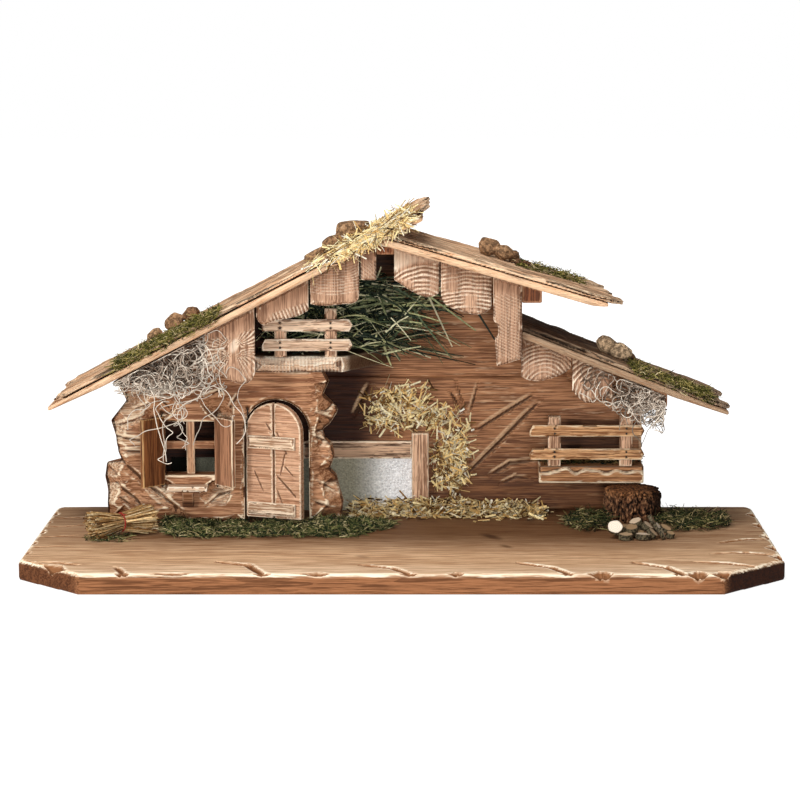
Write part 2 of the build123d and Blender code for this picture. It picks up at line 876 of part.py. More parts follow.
# Split planks lie side by side on each board, with staggered, pointed ends
def plank_outlines(start, end, depth, width_shares, end_shares):
    outlines = []
    front = 0
    for width_share, end_share in zip(width_shares, end_shares):
        back = front + width_share * depth
        near = front + plank_gap / 2
        far = back - plank_gap / 2
        shoulder = end * end_share
        tip = shoulder + plank_point * end / abs(end)
        middle = (near + far) / 2
        peak = start - ridge_point * end / abs(end)
        outlines.append(
            ((start, near), (shoulder, near), (tip, middle), (shoulder, far), (start, far), (peak, middle))
        )
        front = back
    return outlines


def make_planks(slope, start, end, depth, width_shares, end_shares, cut_plane):
    with BuildPart() as planks:
        with BuildSketch(slope.offset(board_thickness)):
            for outline in plank_outlines(start, end, depth, width_shares, end_shares):
                with BuildLine():
                    Polyline(*outline, close=True)
                make_face()
        extrude(amount=plank_thickness)
        if cut_plane:
            split(bisect_by=cut_plane, keep=Keep.BOTTOM)
    return planks


left_roof_planks = make_planks(
    left_slope,
    left_overshoot_length,
    -left_eave_length,
    roof_depth,
    left_plank_width_shares,
    left_plank_end_shares,
    None,
)
save(left_roof_planks, "left_roof_planks")
upper_roof_planks = make_planks(
    upper_slope,
    0,
    upper_eave_length,
    roof_depth,
    upper_plank_width_shares,
    upper_plank_end_shares,
    left_slope,
)
save(upper_roof_planks, "upper_roof_planks")
lower_roof_planks = make_planks(
    lower_slope,
    -overrun,
    lower_eave_length,
    lower_roof_depth,
    lower_plank_width_shares,
    lower_plank_end_shares,
    step_plane,
)
save(lower_roof_planks, "lower_roof_planks")

# Purlins: their tops follow the boards they carry
purlin_left_x = ridge_x - ridge_purlin_lap
purlin_right_x = purlin_left_x + ridge_purlin_width
ridge_purlin = slab(
    (
        (purlin_left_x, ridge_z - ridge_purlin_height),
        (purlin_right_x, ridge_z - ridge_purlin_height),
        (purlin_right_x, upper_under(purlin_right_x)),
        (ridge_x, ridge_z),
        (purlin_left_x, left_under(purlin_left_x)),
    ),
    upright(trim_back_y),
    trim_back_y - wall_front_y,
)
save(ridge_purlin, "ridge_purlin")

upper_purlin_bottom = upper_under(step_reach) - upper_purlin_height
upper_purlin_right_x = step_reach + upper_purlin_width
upper_purlin = slab(
    (
        (step_reach, upper_purlin_bottom),
        (upper_purlin_right_x, upper_purlin_bottom),
        (upper_purlin_right_x, upper_under(upper_purlin_right_x)),
        (step_reach, upper_under(step_reach)),
    ),
    upright(trim_back_y),
    trim_back_y - wall_back_y,
)
save(upper_purlin, "upper_purlin")

lower_purlin_bottom = lower_under(wall_right_reach) - lower_purlin_height
lower_purlin_right_x = wall_right_reach + lower_purlin_width
lower_purlin_front_y = lower_roof_front_y + lower_purlin_setback
lower_purlin = slab(
    (
        (wall_right_reach, lower_purlin_bottom),
        (lower_purlin_right_x, lower_purlin_bottom),
        (lower_purlin_right_x, lower_under(lower_purlin_right_x)),
        (wall_right_reach, lower_under(wall_right_reach)),
    ),
    upright(lower_purlin_front_y),
    lower_purlin_front_y - wall_back_y,
)
save(lower_purlin, "lower_purlin")

# Trim boards, numbered from left to right, spread out from the ridge purlin
trim_spans = []
trim_right = purlin_left_x
for width_share in reversed(left_trim_width_shares):
    trim_left = trim_right - width_share * trim_width
    trim_spans.insert(0, (trim_left, trim_right, left_under, trim_front_y))
    trim_right = trim_left - trim_gap
trim_left = purlin_right_x
for width_share in right_trim_width_shares:
    trim_right = trim_left + width_share * trim_width
    trim_spans.append((trim_left, trim_right, upper_under, trim_front_y))
    trim_left = trim_right + trim_gap
trim_spans.append((trim_left, step_reach, upper_under, trim_front_y))
trim_left = step_reach
for width_share in lower_trim_width_shares:
    trim_right = trim_left + width_share * trim_width
    trim_spans.append((trim_left, trim_right, lower_under, lower_roof_front_y + trim_setback))
    trim_left = trim_right + trim_gap

for number, (span, edge_shares) in enumerate(zip(trim_spans, trim_edge_shares)):
    trim_left, trim_right, roof_line, front_y = span
    edge_points = []
    for across, drop in edge_shares:
        edge_x = trim_left + across * (trim_right - trim_left)
        edge_points.append((edge_x, roof_line(edge_x) - drop * trim_drop))
    with BuildPart() as gable_trim:
        with BuildSketch(upright(front_y)):
            with BuildLine():
                Polyline(
                    edge_points[0],
                    (trim_left, roof_line(trim_left)),
                    (trim_right, roof_line(trim_right)),
                    edge_points[-1],
                )
                if number == tall_trim:
                    Polyline(*edge_points)
                else:
                    Spline(*edge_points)
            make_face()
        extrude(amount=-trim_thickness)
    save(gable_trim, f"gable_trim_{number + 1}")

# Stump, a little wider at the foot
stump_x = wall_right_reach - stump_side_inset
stump_y = wall_front_y - stump_wall_gap - stump_radius
with BuildPart() as stump:
    for level, radius in ((deck, stump_radius), (deck + stump_height, stump_top_radius)):
        with BuildSketch(Plane.XY.offset(level)):
            with Locations((stump_x, stump_y)):
                RegularPolygon(radius, stump_side_count)
    loft(ruled=True)
save(stump, "stump")

# Log slices: two rows on the deck and one row lying on top of them
slice_pitch = 2 * slice_radius + slice_gap
slice_pile_x = stump_x + slice_pile_shift
slice_pile_y = stump_y - slice_pile_reach
with BuildPart() as log_slices:
    with BuildSketch(Plane.XY.offset(deck)):
        with Locations((slice_pile_x, slice_pile_y)):
            with GridLocations(slice_pitch, slice_pitch, slice_row_count, 2):
                RegularPolygon(slice_radius, slice_side_count)
    extrude(amount=slice_thickness)
    with BuildSketch(Plane.XY.offset(deck + slice_thickness + press_clearance)):
        with Locations((slice_pile_x, slice_pile_y)):
            with GridLocations(slice_pitch, slice_pitch, slice_row_count - 1, 1):
                RegularPolygon(slice_radius, slice_side_count)
    extrude(amount=slice_thickness)
save(log_slices, "log_slices")

# Sheaf lying on the deck, on a plane across its near end
sheaf_y = house_front_y - sheaf_reach
sheaf_direction = Vector(cos(radians(sheaf_angle)), sin(radians(sheaf_angle)), 0)
sheaf_middle = Vector(sheaf_x, sheaf_y, deck + sheaf_end_radius)
sheaf_plane = Plane(
    origin=sheaf_middle - sheaf_direction * (sheaf_length / 2), x_dir=(0, 0, 1), z_dir=sheaf_direction
)
tie_start = (sheaf_length - tie_width) / 2
with BuildPart() as straw_sheaf:
    for along, radius in (
        (0, sheaf_end_radius),
        (tie_start, sheaf_waist_radius),
        (tie_start + tie_width, sheaf_waist_radius),
        (sheaf_length, sheaf_end_radius),
    ):
        with BuildSketch(sheaf_plane.offset(along)):
            RegularPolygon(radius, sheaf_side_count)
    loft(ruled=True)
save(straw_sheaf, "straw_sheaf")

# Tie round the waist
tie_inner_radius = sheaf_waist_radius + running_clearance
with BuildPart() as sheaf_tie:
    with BuildSketch(sheaf_plane.offset(tie_start)):
        RegularPolygon(tie_inner_radius + tie_thickness, sheaf_side_count)
        RegularPolygon(tie_inner_radius, sheaf_side_count, mode=Mode.SUBTRACT)
    extrude(amount=tie_width)
save(sheaf_tie, "sheaf_tie")

# Moss on the ground: low before the house, so that the door passes over it, and beside the stump
house_moss_x = sheaf_x + sheaf_length / 2
house_moss_back_y = house_front_y - soft_gap
left_patch_x = stump_x - stump_radius - soft_gap - stump_moss_length / 2
right_patch_x = stump_x + stump_radius + soft_gap
with BuildPart() as ground_moss:
    with BuildSketch(Plane.XY.offset(deck)):
        with BuildLine():
            Polyline(
                *[
                    (
                        house_moss_x + along * house_moss_length,
                        house_moss_back_y - (1 - back) * house_moss_depth,
                    )
                    for along, back in house_moss_shares
                ],
                close=True,
            )
        make_face()
    extrude(amount=house_moss_thickness)
    with BuildSketch(Plane.XY.offset(deck)):
        for patch_x, patch_length in (
            (left_patch_x, stump_moss_length / 2),
            (right_patch_x, stump_moss_length),
        ):
            with BuildLine():
                Polyline(
                    *[
                        (patch_x + along * patch_length, stump_y + (back - 1) * stump_moss_length)
                        for along, back in stump_moss_shares
                    ],
                    close=True,
                )
            make_face()
    extrude(amount=stump_moss_thickness)
save(ground_moss, "ground_moss")

# Moss on the roofs: places as shares of the slope's length and depth
plank_top = board_thickness + plank_thickness
roof_moss_place_shares = (
    (left_slope, -left_eave_length, roof_depth, (0.5, 0.88), (0.03, 0.3)),
    (upper_slope, upper_eave_length, roof_depth, (0.66, 0.93), (0.5, 0.75)),
    (lower_slope, lower_eave_length, lower_roof_depth, (0.6, 0.97), (0.12, 0.5)),
)
with BuildPart() as roof_moss:
    for slope, length, depth, along_shares, back_shares in roof_moss_place_shares:
        along_span = along_shares[1] - along_shares[0]
        back_span = back_shares[1] - back_shares[0]
        with BuildSketch(slope.offset(plank_top)):
            with BuildLine():
                Polyline(
                    *[
                        (
                            (along_shares[0] + along * along_span) * length,
                            (back_shares[0] + back * back_span) * depth,
                        )
                        for along, back in roof_moss_outline_shares
                    ],
                    close=True,
                )
            make_face()
        extrude(amount=roof_moss_thickness)
save(roof_moss, "roof_moss")

# Stones and bark lumps that weigh the planks down
stone_place_shares = (
    (left_slope, -left_eave_length, roof_depth, ((0.64, 0.48), (0.54, 0.55), (0.2, 0.5))),
    (upper_slope, upper_eave_length, roof_depth, ((0.47, 0.75), (0.56, 0.72))),
    (lower_slope, lower_eave_length, lower_roof_depth, ((0.44, 0.62), (0.53, 0.68))),
)
with BuildPart() as roof_stones:
    for slope, length, depth, places in stone_place_shares:
        with BuildSketch(slope.offset(plank_top)):
            for along, back in places:
                with BuildLine():
                    Polyline(
                        *[
                            (along * length + across * stone_length, back * depth + inward * stone_length)
                            for across, inward in stone_outline_shares
                        ],
                        close=True,
                    )
                make_face()
        extrude(amount=stone_height, taper=stone_taper)
save(roof_stones, "roof_stones")

# Moss on the balcony, behind its posts
balcony_moss = slab(
    (
        (shelf_left_x, shelf_front_y + balcony_post_depth + soft_gap),
        (wall_right_reach, shelf_front_y + balcony_post_depth + soft_gap),
        (wall_right_reach, wall_front_y - soft_gap),
        (shelf_left_x, wall_front_y - soft_gap),
    ),
    Plane.XY.offset(shelf_top),
    balcony_moss_height,
)
save(balcony_moss, "balcony_moss")

# Hay on the loft, spilling out to the right
hay_front_y = loft_front_y + loft_post_depth + soft_gap
loft_hay = slab(
    [
        (loft_left_x + soft_gap + along * hay_length, loft_top + rise * hay_height)
        for along, rise in hay_shares
    ],
    upright(hay_front_y),
    hay_front_y - wall_front_y + soft_gap,
)
save(loft_hay, "loft_hay")

# Straw: on the back wall round the post, on the deck below it, and on the ridge
wall_straw_foot = plaster_post_top + soft_gap
wall_straw_x = plaster_post_right_x + soft_gap
with BuildPart() as straw_litter:
    with BuildSketch(upright(wall_front_y)):
        with BuildLine():
            Polyline(
                (wall_straw_x, wall_straw_foot),
                *[
                    (wall_straw_x + across * wall_straw_width, wall_straw_foot + rise * wall_straw_rise)
                    for across, rise in wall_straw_shares
                ],
                (
                    wall_straw_x + wall_straw_tail_share * wall_straw_width,
                    wall_straw_foot - wall_straw_fall / 2,
                ),
                (wall_straw_x, wall_straw_foot - wall_straw_fall),
                close=True,
            )
        make_face()
    extrude(amount=wall_straw_thickness)
    with BuildSketch(Plane.XY.offset(deck)):
        with Locations((-floor_straw_left_reach, wall_front_y - plaster_post_thickness - soft_gap)):
            Rectangle(floor_straw_length, floor_straw_depth, align=(Align.MIN, Align.MAX))
    extrude(amount=straw_thickness)
    with BuildSketch(left_slope.offset(plank_top)):
        with Locations((left_overshoot_length, (roof_depth - ridge_straw_width) / 2)):
            Rectangle(ridge_straw_length, ridge_straw_width, align=(Align.MAX, Align.MIN))
    extrude(amount=straw_thickness)
save(straw_litter, "straw_litter")

# Lichen hanging under the eaves
lichen_left_end = trim_spans[0][0] - soft_gap
lichen_right_end = wall_right_reach - soft_gap
lower_trim_front_y = lower_roof_front_y + trim_setback
for lichen_name, lichen_end, lichen_length, roof_line, front_y in (
    ("lichen_left", lichen_left_end, lichen_left_length, left_under, trim_front_y),
    ("lichen_right", lichen_right_end, lichen_right_length, lower_under, lower_trim_front_y),
):
    lichen_start = lichen_end - lichen_length
    lichen = slab(
        [(lichen_start, roof_line(lichen_start)), (lichen_end, roof_line(lichen_end))]
        + [
            (
                lichen_start + along * lichen_length,
                roof_line(lichen_start + along * lichen_length) - drop * lichen_hang,
            )
            for along, drop in lichen_shares
        ],
        upright(front_y),
        -lichen_thickness,
    )
    save(lichen, lichen_name)
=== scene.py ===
import math

import bmesh
import bpy
import numpy as np
from mathutils import Matrix, Vector


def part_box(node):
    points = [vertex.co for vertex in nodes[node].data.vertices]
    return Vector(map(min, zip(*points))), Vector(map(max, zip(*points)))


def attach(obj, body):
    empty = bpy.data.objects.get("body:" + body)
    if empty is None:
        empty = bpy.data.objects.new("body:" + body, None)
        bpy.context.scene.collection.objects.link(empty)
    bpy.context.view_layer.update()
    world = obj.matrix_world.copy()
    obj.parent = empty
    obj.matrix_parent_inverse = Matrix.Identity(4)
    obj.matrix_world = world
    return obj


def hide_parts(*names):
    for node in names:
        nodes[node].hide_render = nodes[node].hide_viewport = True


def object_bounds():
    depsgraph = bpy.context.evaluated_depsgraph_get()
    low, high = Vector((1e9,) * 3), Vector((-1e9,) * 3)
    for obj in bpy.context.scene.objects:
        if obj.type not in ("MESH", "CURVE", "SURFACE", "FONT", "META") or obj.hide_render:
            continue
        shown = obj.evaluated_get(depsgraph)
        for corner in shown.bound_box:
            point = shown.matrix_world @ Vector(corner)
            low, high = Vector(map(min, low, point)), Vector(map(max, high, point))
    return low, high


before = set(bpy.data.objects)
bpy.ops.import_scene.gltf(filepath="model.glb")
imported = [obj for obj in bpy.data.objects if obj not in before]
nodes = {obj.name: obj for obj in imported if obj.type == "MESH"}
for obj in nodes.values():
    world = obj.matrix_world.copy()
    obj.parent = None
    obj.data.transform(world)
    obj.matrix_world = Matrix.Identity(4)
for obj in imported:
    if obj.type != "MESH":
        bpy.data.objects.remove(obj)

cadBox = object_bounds()
dice = np.random.default_rng(7)

# main levels and depths of the stable, in metres
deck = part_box("base_board")[1].z
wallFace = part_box("back_wall_lower")[0].y
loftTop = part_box("loft_floor")[1].z
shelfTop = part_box("balcony_shelf")[1].z
ridge = Vector((-0.0232, 0, 0.2965))   # where the undersides of the two upper slopes meet
lowerStart = (0.113, 0.20519)   # upper end of the lower roof, across and up
pitches = {"left": 27.4, "upper": -16.1, "lower": -21.3}   # degrees, rising to the right is positive
doorHinge = (-0.1512, 0.0715)   # across and back
doorTurn = math.radians(20)   # the leaf stands ajar
fullTurn = 6.283   # radians, rounded


def roofUnder(x):
    left = ridge.z + (x - ridge.x) * math.tan(math.radians(pitches["left"]))
    right = ridge.z + (x - ridge.x) * math.tan(math.radians(pitches["upper"]))
    return np.minimum(left, right)


def lowerUnder(x):
    return lowerStart[1] + (x - lowerStart[0]) * math.tan(math.radians(pitches["lower"]))


# tools for meshes

def only(piece):
    bpy.ops.object.select_all(action="DESELECT")
    piece.select_set(True)
    bpy.context.view_layer.objects.active = piece


def applyAll(piece):
    only(piece)
    for modifier in list(piece.modifiers):
        bpy.ops.object.modifier_apply(modifier=modifier.name)


def twin(piece):
    other = piece.copy()
    other.data = piece.data.copy()
    bpy.context.scene.collection.objects.link(other)
    return other


def joinPieces(pieces, into):
    bpy.ops.object.select_all(action="DESELECT")
    for piece in pieces:
        piece.select_set(True)
    bpy.context.view_layer.objects.active = into
    if len(pieces) > 1:
        bpy.ops.object.join()
    return into


def readPoints(piece, kind="co"):
    flat = np.empty(len(piece.data.vertices) * 3, np.float32)
    piece.data.vertices.foreach_get(kind, flat)
    return flat.reshape(-1, 3).astype(float)


def readNormals(piece):
    return readPoints(piece, "normal")


def writePoints(piece, points):
    piece.data.vertices.foreach_set("co", points.astype(np.float32).ravel())
    piece.data.update()


def writeLayer(piece, name, values):
    layer = piece.data.attributes.get(name) or piece.data.attributes.new(name, "FLOAT", "POINT")
    layer.data.foreach_set("value", values.astype(np.float32))


def raiseLayer(piece, name, values):
    # keeps the greater of the layer and the new values
    layer = piece.data.attributes.get(name)
    old = np.zeros(len(values), np.float32)
    if layer:
        layer.data.foreach_get("value", old)
    writeLayer(piece, name, np.maximum(old, values))


def smooth(low, high, values):
    t = np.clip((values - low) / (high - low), 0, 1)
    return t * t * (3 - 2 * t)


def scramble(x, y, z, seed):
    mixed = (x * 374761393 + y * 668265263 + z * 1442695041 + seed * 1274126177) & 0xFFFFFFFF
    mixed = ((mixed ^ (mixed >> 13)) * 1274126177) & 0xFFFFFFFF
    return ((mixed ^ (mixed >> 16)) & 0xFFFF) / 65535.0


def cloud(points, size, seed=0):
    # soft noise from -1 to 1, size is the width of a lump in metres, one number or one per axis
    scaled = points / np.asarray(size, float)
    low = np.floor(scaled).astype(np.int64)
    part = scaled - low
    part = part * part * (3 - 2 * part)
    total = np.zeros(len(points))
    for dx in (0, 1):
        for dy in (0, 1):
            for dz in (0, 1):
                weight = np.ones(len(points))
                for axis, step in enumerate((dx, dy, dz)):
                    weight *= part[:, axis] if step else 1 - part[:, axis]
                total += weight * scramble(low[:, 0] + dx, low[:, 1] + dy, low[:, 2] + dz, seed)
    return total * 2 - 1


def facets(flat, size, seed=0, turn=0.5):
    # flat facets that meet in creases, heights from -1 to 1
    spread = np.c_[flat, np.zeros(len(flat))]
    shift = [cloud(spread, size * 2.3, seed + number) for number in (40, 41)]
    bent = flat + 0.3 * size * np.stack(shift, axis=1)
    grid = bent @ np.array(((math.cos(turn), -math.sin(turn)), (math.sin(turn), math.cos(turn)))) / size
    low = np.floor(grid).astype(np.int64)
    part = grid - low
    back = 1 - part
    corners = [
        scramble(low[:, 0] + dx, low[:, 1] + dy, low[:, 0] * 0, seed) * 2 - 1
        for dx in (0, 1) for dy in (0, 1)]
    near = corners[0] + (corners[2] - corners[0]) * part[:, 0] + (corners[1] - corners[0]) * part[:, 1]
    far = corners[3] + (corners[1] - corners[3]) * back[:, 0] + (corners[2] - corners[3]) * back[:, 1]
    return np.where(part.sum(1) < 1, near, far)


def copyNode(node, name, voxel):
    # a merged copy of the CAD node, each solid remeshed finely enough to be carved
    piece = bpy.data.objects.new(name, nodes[node].data.copy())
    bpy.context.scene.collection.objects.link(piece)
    piece.data.materials.clear()
    only(piece)
    bpy.ops.object.mode_set(mode="EDIT")
    bpy.ops.mesh.select_all(action="SELECT")
    bpy.ops.mesh.remove_doubles(threshold=1e-6)
    bpy.ops.mesh.separate(type="LOOSE")
    bpy.ops.object.mode_set(mode="OBJECT")
    shares = list(bpy.context.selected_objects)
    for share in shares:
        fine = share.modifiers.new("fine", "REMESH")
        fine.mode = "VOXEL"
        fine.voxel_size = voxel
        applyAll(share)
    return joinPieces(shares, piece)


def faceOutline(node, facing):
    # edges round the faces of a CAD node that look one way
    mesh = bmesh.new()
    mesh.from_mesh(nodes[node].data)
    bmesh.ops.remove_doubles(mesh, verts=mesh.verts, dist=1e-6)
    edges = []
    straight = max(face.normal.dot(facing) for face in mesh.faces) - 0.01
    for edge in mesh.edges:
        turned = [face.normal.dot(facing) > straight for face in edge.link_faces]
        if any(turned) and not all(turned):
            edges.append([tuple(vert.co) for vert in edge.verts])
    mesh.free()
    return np.array(edges)


def nearestOn(flat, edges):
    best = np.full(len(flat), 1e9)
    spot = np.zeros_like(flat)
    for start, end in edges:
        run = end - start
        along = np.clip(((flat - start) @ run) / max(run @ run, 1e-12), 0, 1)
        point = start + along[:, None] * run
        gap = np.hypot(*(flat - point).T)
        near = gap < best
        best = np.where(near, gap, best)
        spot = np.where(near[:, None], point, spot)
    return best, spot


def groove(flat, path, width, depth, lean=0.35):
    # a cut along a path, steep on one side and shallow on the other, fading at both ends
    cut = np.zeros(len(flat))
    path = np.array(path, float)
    runs = np.linalg.norm(np.diff(path, axis=0), axis=1)
    total = runs.sum()
    before = 0.0
    for start, end, length in zip(path[:-1], path[1:], runs):
        way = (end - start) / length
        along = (flat - start) @ way
        side = (flat - start) @ np.array((-way[1], way[0]))
        inside = (along > -width * 0.3) & (along < length + width * 0.3)
        reach = np.where(side > 0, width * lean, width * (1 - lean))
        fade = np.clip(np.sin(np.pi * np.clip((before + along) / total, 0.02, 0.98)), 0, 1) ** 0.5
        cut = np.maximum(cut, np.where(inside, np.clip(1 - np.abs(side) / reach, 0, 1) * fade * depth, 0))
        before += length
    return cut


def cuts(flat, grooves):
    deepest = np.zeros(len(flat))
    for path, width, depth in grooves:
        deepest = np.maximum(deepest, groove(flat, path, width, depth))
    return deepest


def markEdges(piece, size, worn=None, spread=2):
    # layers for the finish: wear on outer edges, hollow in the cuts
    points = readPoints(piece)
    normals = readNormals(piece)
    pairs = np.empty(len(piece.data.edges) * 2, np.int32)
    piece.data.edges.foreach_get("vertices", pairs)
    one, two = pairs.reshape(-1, 2).T
    run = points[two] - points[one]
    bend = (run * (normals[two] - normals[one])).sum(1) / np.maximum((run * run).sum(1), 1e-14)
    count = len(points)
    share = np.maximum(np.bincount(one, minlength=count) + np.bincount(two, minlength=count), 1)
    curve = (np.bincount(one, bend, count) + np.bincount(two, bend, count)) / share * size
    for _ in range(spread):
        around = (np.bincount(one, curve[two], count) + np.bincount(two, curve[one], count)) / share
        curve = 0.5 * curve + 0.5 * around
    wear = smooth(0.035, 0.20, curve)
    writeLayer(piece, "wear", wear * worn(points) if worn else wear)
    writeLayer(piece, "hollow", smooth(0.03, 0.16, -curve))


def paint(piece, finish):
    piece.data.materials.clear()
    piece.data.materials.append(finish)


def dress(piece, body, finish, slot, *replaced):
    paint(piece, finish)
    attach(piece, body)
    if replaced:
        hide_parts(*replaced)


# views of a board: across, along and out of its carved face
frontView = (np.array((1.0, 0, 0)), np.array((0, 0, 1.0)), np.array((0, -1.0, 0)))
topView = (np.array((1.0, 0, 0)), np.array((0, 1.0, 0)), np.array((0, 0, 1.0)))


def slopeView(pitch):
    lean = math.radians(pitch)
    return (
        np.array((math.cos(lean), 0, math.sin(lean))),
        np.array((0, 1.0, 0)),
        np.array((-math.sin(lean), 0, math.cos(lean))),
    )


doorView = (
    np.array((math.cos(doorTurn), -math.sin(doorTurn), 0)),
    np.array((0, 0, 1.0)),
    np.array((-math.sin(doorTurn), -math.cos(doorTurn), 0)),
)


def carve(node, name, view, look, surface=None):
    # bevels the edges of the carved face by chisel facets, then cuts the surface of that face
    piece = copyNode(node, name, look["voxel"])
    across, along, facing = view
    edges = faceOutline(node, Vector(facing))
    front = (edges.reshape(-1, 3) @ facing).max()
    edges = np.stack([edges @ across, edges @ along], axis=-1)
    points = readPoints(piece)
    low, high = points.min(0), points.max(0)
    flat = np.stack([points @ across, points @ along], axis=1)
    below = front - points @ facing
    inset, spot = nearestOn(flat, edges)
    chisel = facets(spot, look.get("cell", 0.014), look.get("seed", 1))
    share = look["bevel"] * (0.75 + look.get("uneven", 0.75) * chisel)
    for x, z, halfWidth, size in look.get("chips", ()):   # long slope on one side, steep on the other
        offX, offZ = spot[:, 0] - x, spot[:, 1] - z
        gap = np.hypot(offX, offZ) / np.where(offX + offZ < 0, 1.35 * halfWidth, 0.65 * halfWidth)
        share = np.maximum(share, size * np.clip(1 - gap, 0, 1))
    if "guard" in look:
        share = share * look["guard"](spot)
    share = np.clip(share, look.get("least", 0.08), None)
    reach, depth = look["reach"], look["depth"]
    lack = np.clip(share - inset / reach - below / depth, 0, None) * depth
    push = np.where(below < depth * 1.6, lack, 0)
    if surface:
        push = push + smooth(0.0035, 0.0, below) * surface(flat, inset, spot)
    rough = look.get("rough", 0.0002)
    push = push + smooth(0.0035, 0.0, below) * rough * (cloud(points, look.get("lump", 0.006), 3) + 1)
    points = points - push[:, None] * facing
    writePoints(piece, np.clip(points, low, high))
    markEdges(piece, look["voxel"], look.get("worn"), look.get("spread", 2))
    writeLayer(piece, "cut", smooth(*look.get("cutRange", (0.0012, 0.0045)), push))
    normals = readNormals(piece)
    writeLayer(piece, "side", 1 - smooth(0.35, 0.8, normals @ facing))
    lit = smooth(0.0006, 0.002, push) * smooth(0.10, 0.55, normals @ np.array((-0.35, 0, 0.94)))
    writeLayer(piece, "lit", lit)
    if "lip" in look:   # painted highlight on the side of each cut that faces the light
        beside = cuts(flat - np.array(look["lip"]), look["grooves"]) - cuts(flat, look["grooves"])
        writeLayer(piece, "crest", smooth(0.0004, 0.0013, beside) * smooth(0.0035, 0.0, below))
    if look.get("keep", 1) < 1:
        thin = piece.modifiers.new("thin", "DECIMATE")
        thin.ratio = look["keep"]
        applyAll(piece)
    return piece


# shader tools

class Val:
    def __init__(self, finish, socket):
        self.finish, self.socket = finish, socket

    def calc(self, operation, other=0.0, flip=False):
        first, second = (other, self) if flip else (self, other)
        return self.finish.node("ShaderNodeMath", {"operation": operation}, {0: first, 1: second})

    def __add__(self, other):
        return self.calc("ADD", other)

    __radd__ = __add__

    def __mul__(self, other):
        return self.calc("MULTIPLY", other)

    __rmul__ = __mul__

    def __sub__(self, other):
        return self.calc("SUBTRACT", other)

    def __rsub__(self, other):
        return self.calc("SUBTRACT", other, True)


class Finish:
    def __init__(self, name):
        self.material = bpy.data.materials.new(name)
        self.material.use_nodes = True
        self.tree = self.material.node_tree
        self.shader = next(node for node in self.tree.nodes if node.type == "BSDF_PRINCIPLED")

    def put(self, socket, value):
        if isinstance(value, Val):
            self.tree.links.new(value.socket, socket)
        elif isinstance(value, tuple) and len(value) == 3 and socket.type == "RGBA":
            socket.default_value = (*value, 1)
        else:
            socket.default_value = value

    def node(self, kind, settings=None, sockets=None, out=0):
        made = self.tree.nodes.new(kind)
        for key, value in (settings or {}).items():
            if key == "stops":
                while len(made.color_ramp.elements) < len(value):
                    made.color_ramp.elements.new(0.5)
                for element, (place, colour) in zip(made.color_ramp.elements, value):
                    element.position = place
                    element.color = (*colour, 1)
            else:
                setattr(made, key, value)
        for key, value in (sockets or {}).items():
            self.put(made.inputs[key], value)
        return Val(self, made.outputs[out])

    def blend(self, factor, first, second, way="MIX"):
        return self.node(
            "ShaderNodeMix", {"data_type": "RGBA", "blend_type": way}, {0: factor, 6: first, 7: second}, 2)

    def ramp(self, value, low, high):
        return self.node(
            "ShaderNodeMapRange", {"interpolation_type": "SMOOTHSTEP"}, {0: value, 1: low, 2: high})

    def layer(self, name):
        return self.node("ShaderNodeAttribute", {"attribute_name": name}, out=2)

    def place(self, turn=(0, 0, 0), scale=(1, 1, 1), move=(0, 0, 0)):
        objectPlace = self.node("ShaderNodeTexCoord", out=3)
        turned = self.node(
            "ShaderNodeMapping", {}, {"Vector": objectPlace, "Rotation": turn, "Location": move})
        return self.node("ShaderNodeMapping", {}, {"Vector": turned, "Scale": scale})

    def axis(self, number):
        # place along one axis of the object
        return self.node("ShaderNodeSeparateXYZ", {}, {0: self.node("ShaderNodeTexCoord", out=3)}, number)

    def noise(self, place, scale=1.0, detail=3.0, roughness=0.55):
        sockets = {"Vector": place, "Scale": scale, "Detail": detail, "Roughness": roughness}
        return self.node("ShaderNodeTexNoise", {}, sockets)

    def speckle(self, scale, detail=3.0, roughness=0.55):
        return self.noise(self.place(scale=(scale, scale, scale)), 1.0, detail, roughness)

    def finish(self, **sockets):
        for key, value in sockets.items():
            self.put(self.shader.inputs[key.replace("_", " ")], value)
        return self.material

    def bump(self, height, strength, distance):
        return self.node("ShaderNodeBump", {}, {"Height": height, "Strength": strength, "Distance": distance})


grainTurns = {"x": (0, 0, 0), "z": (0, math.radians(90), 0), "door": (0, 0, doorTurn)}
for slopeName, slopePitch in pitches.items():
    grainTurns[slopeName] = (0, math.radians(slopePitch), 0)


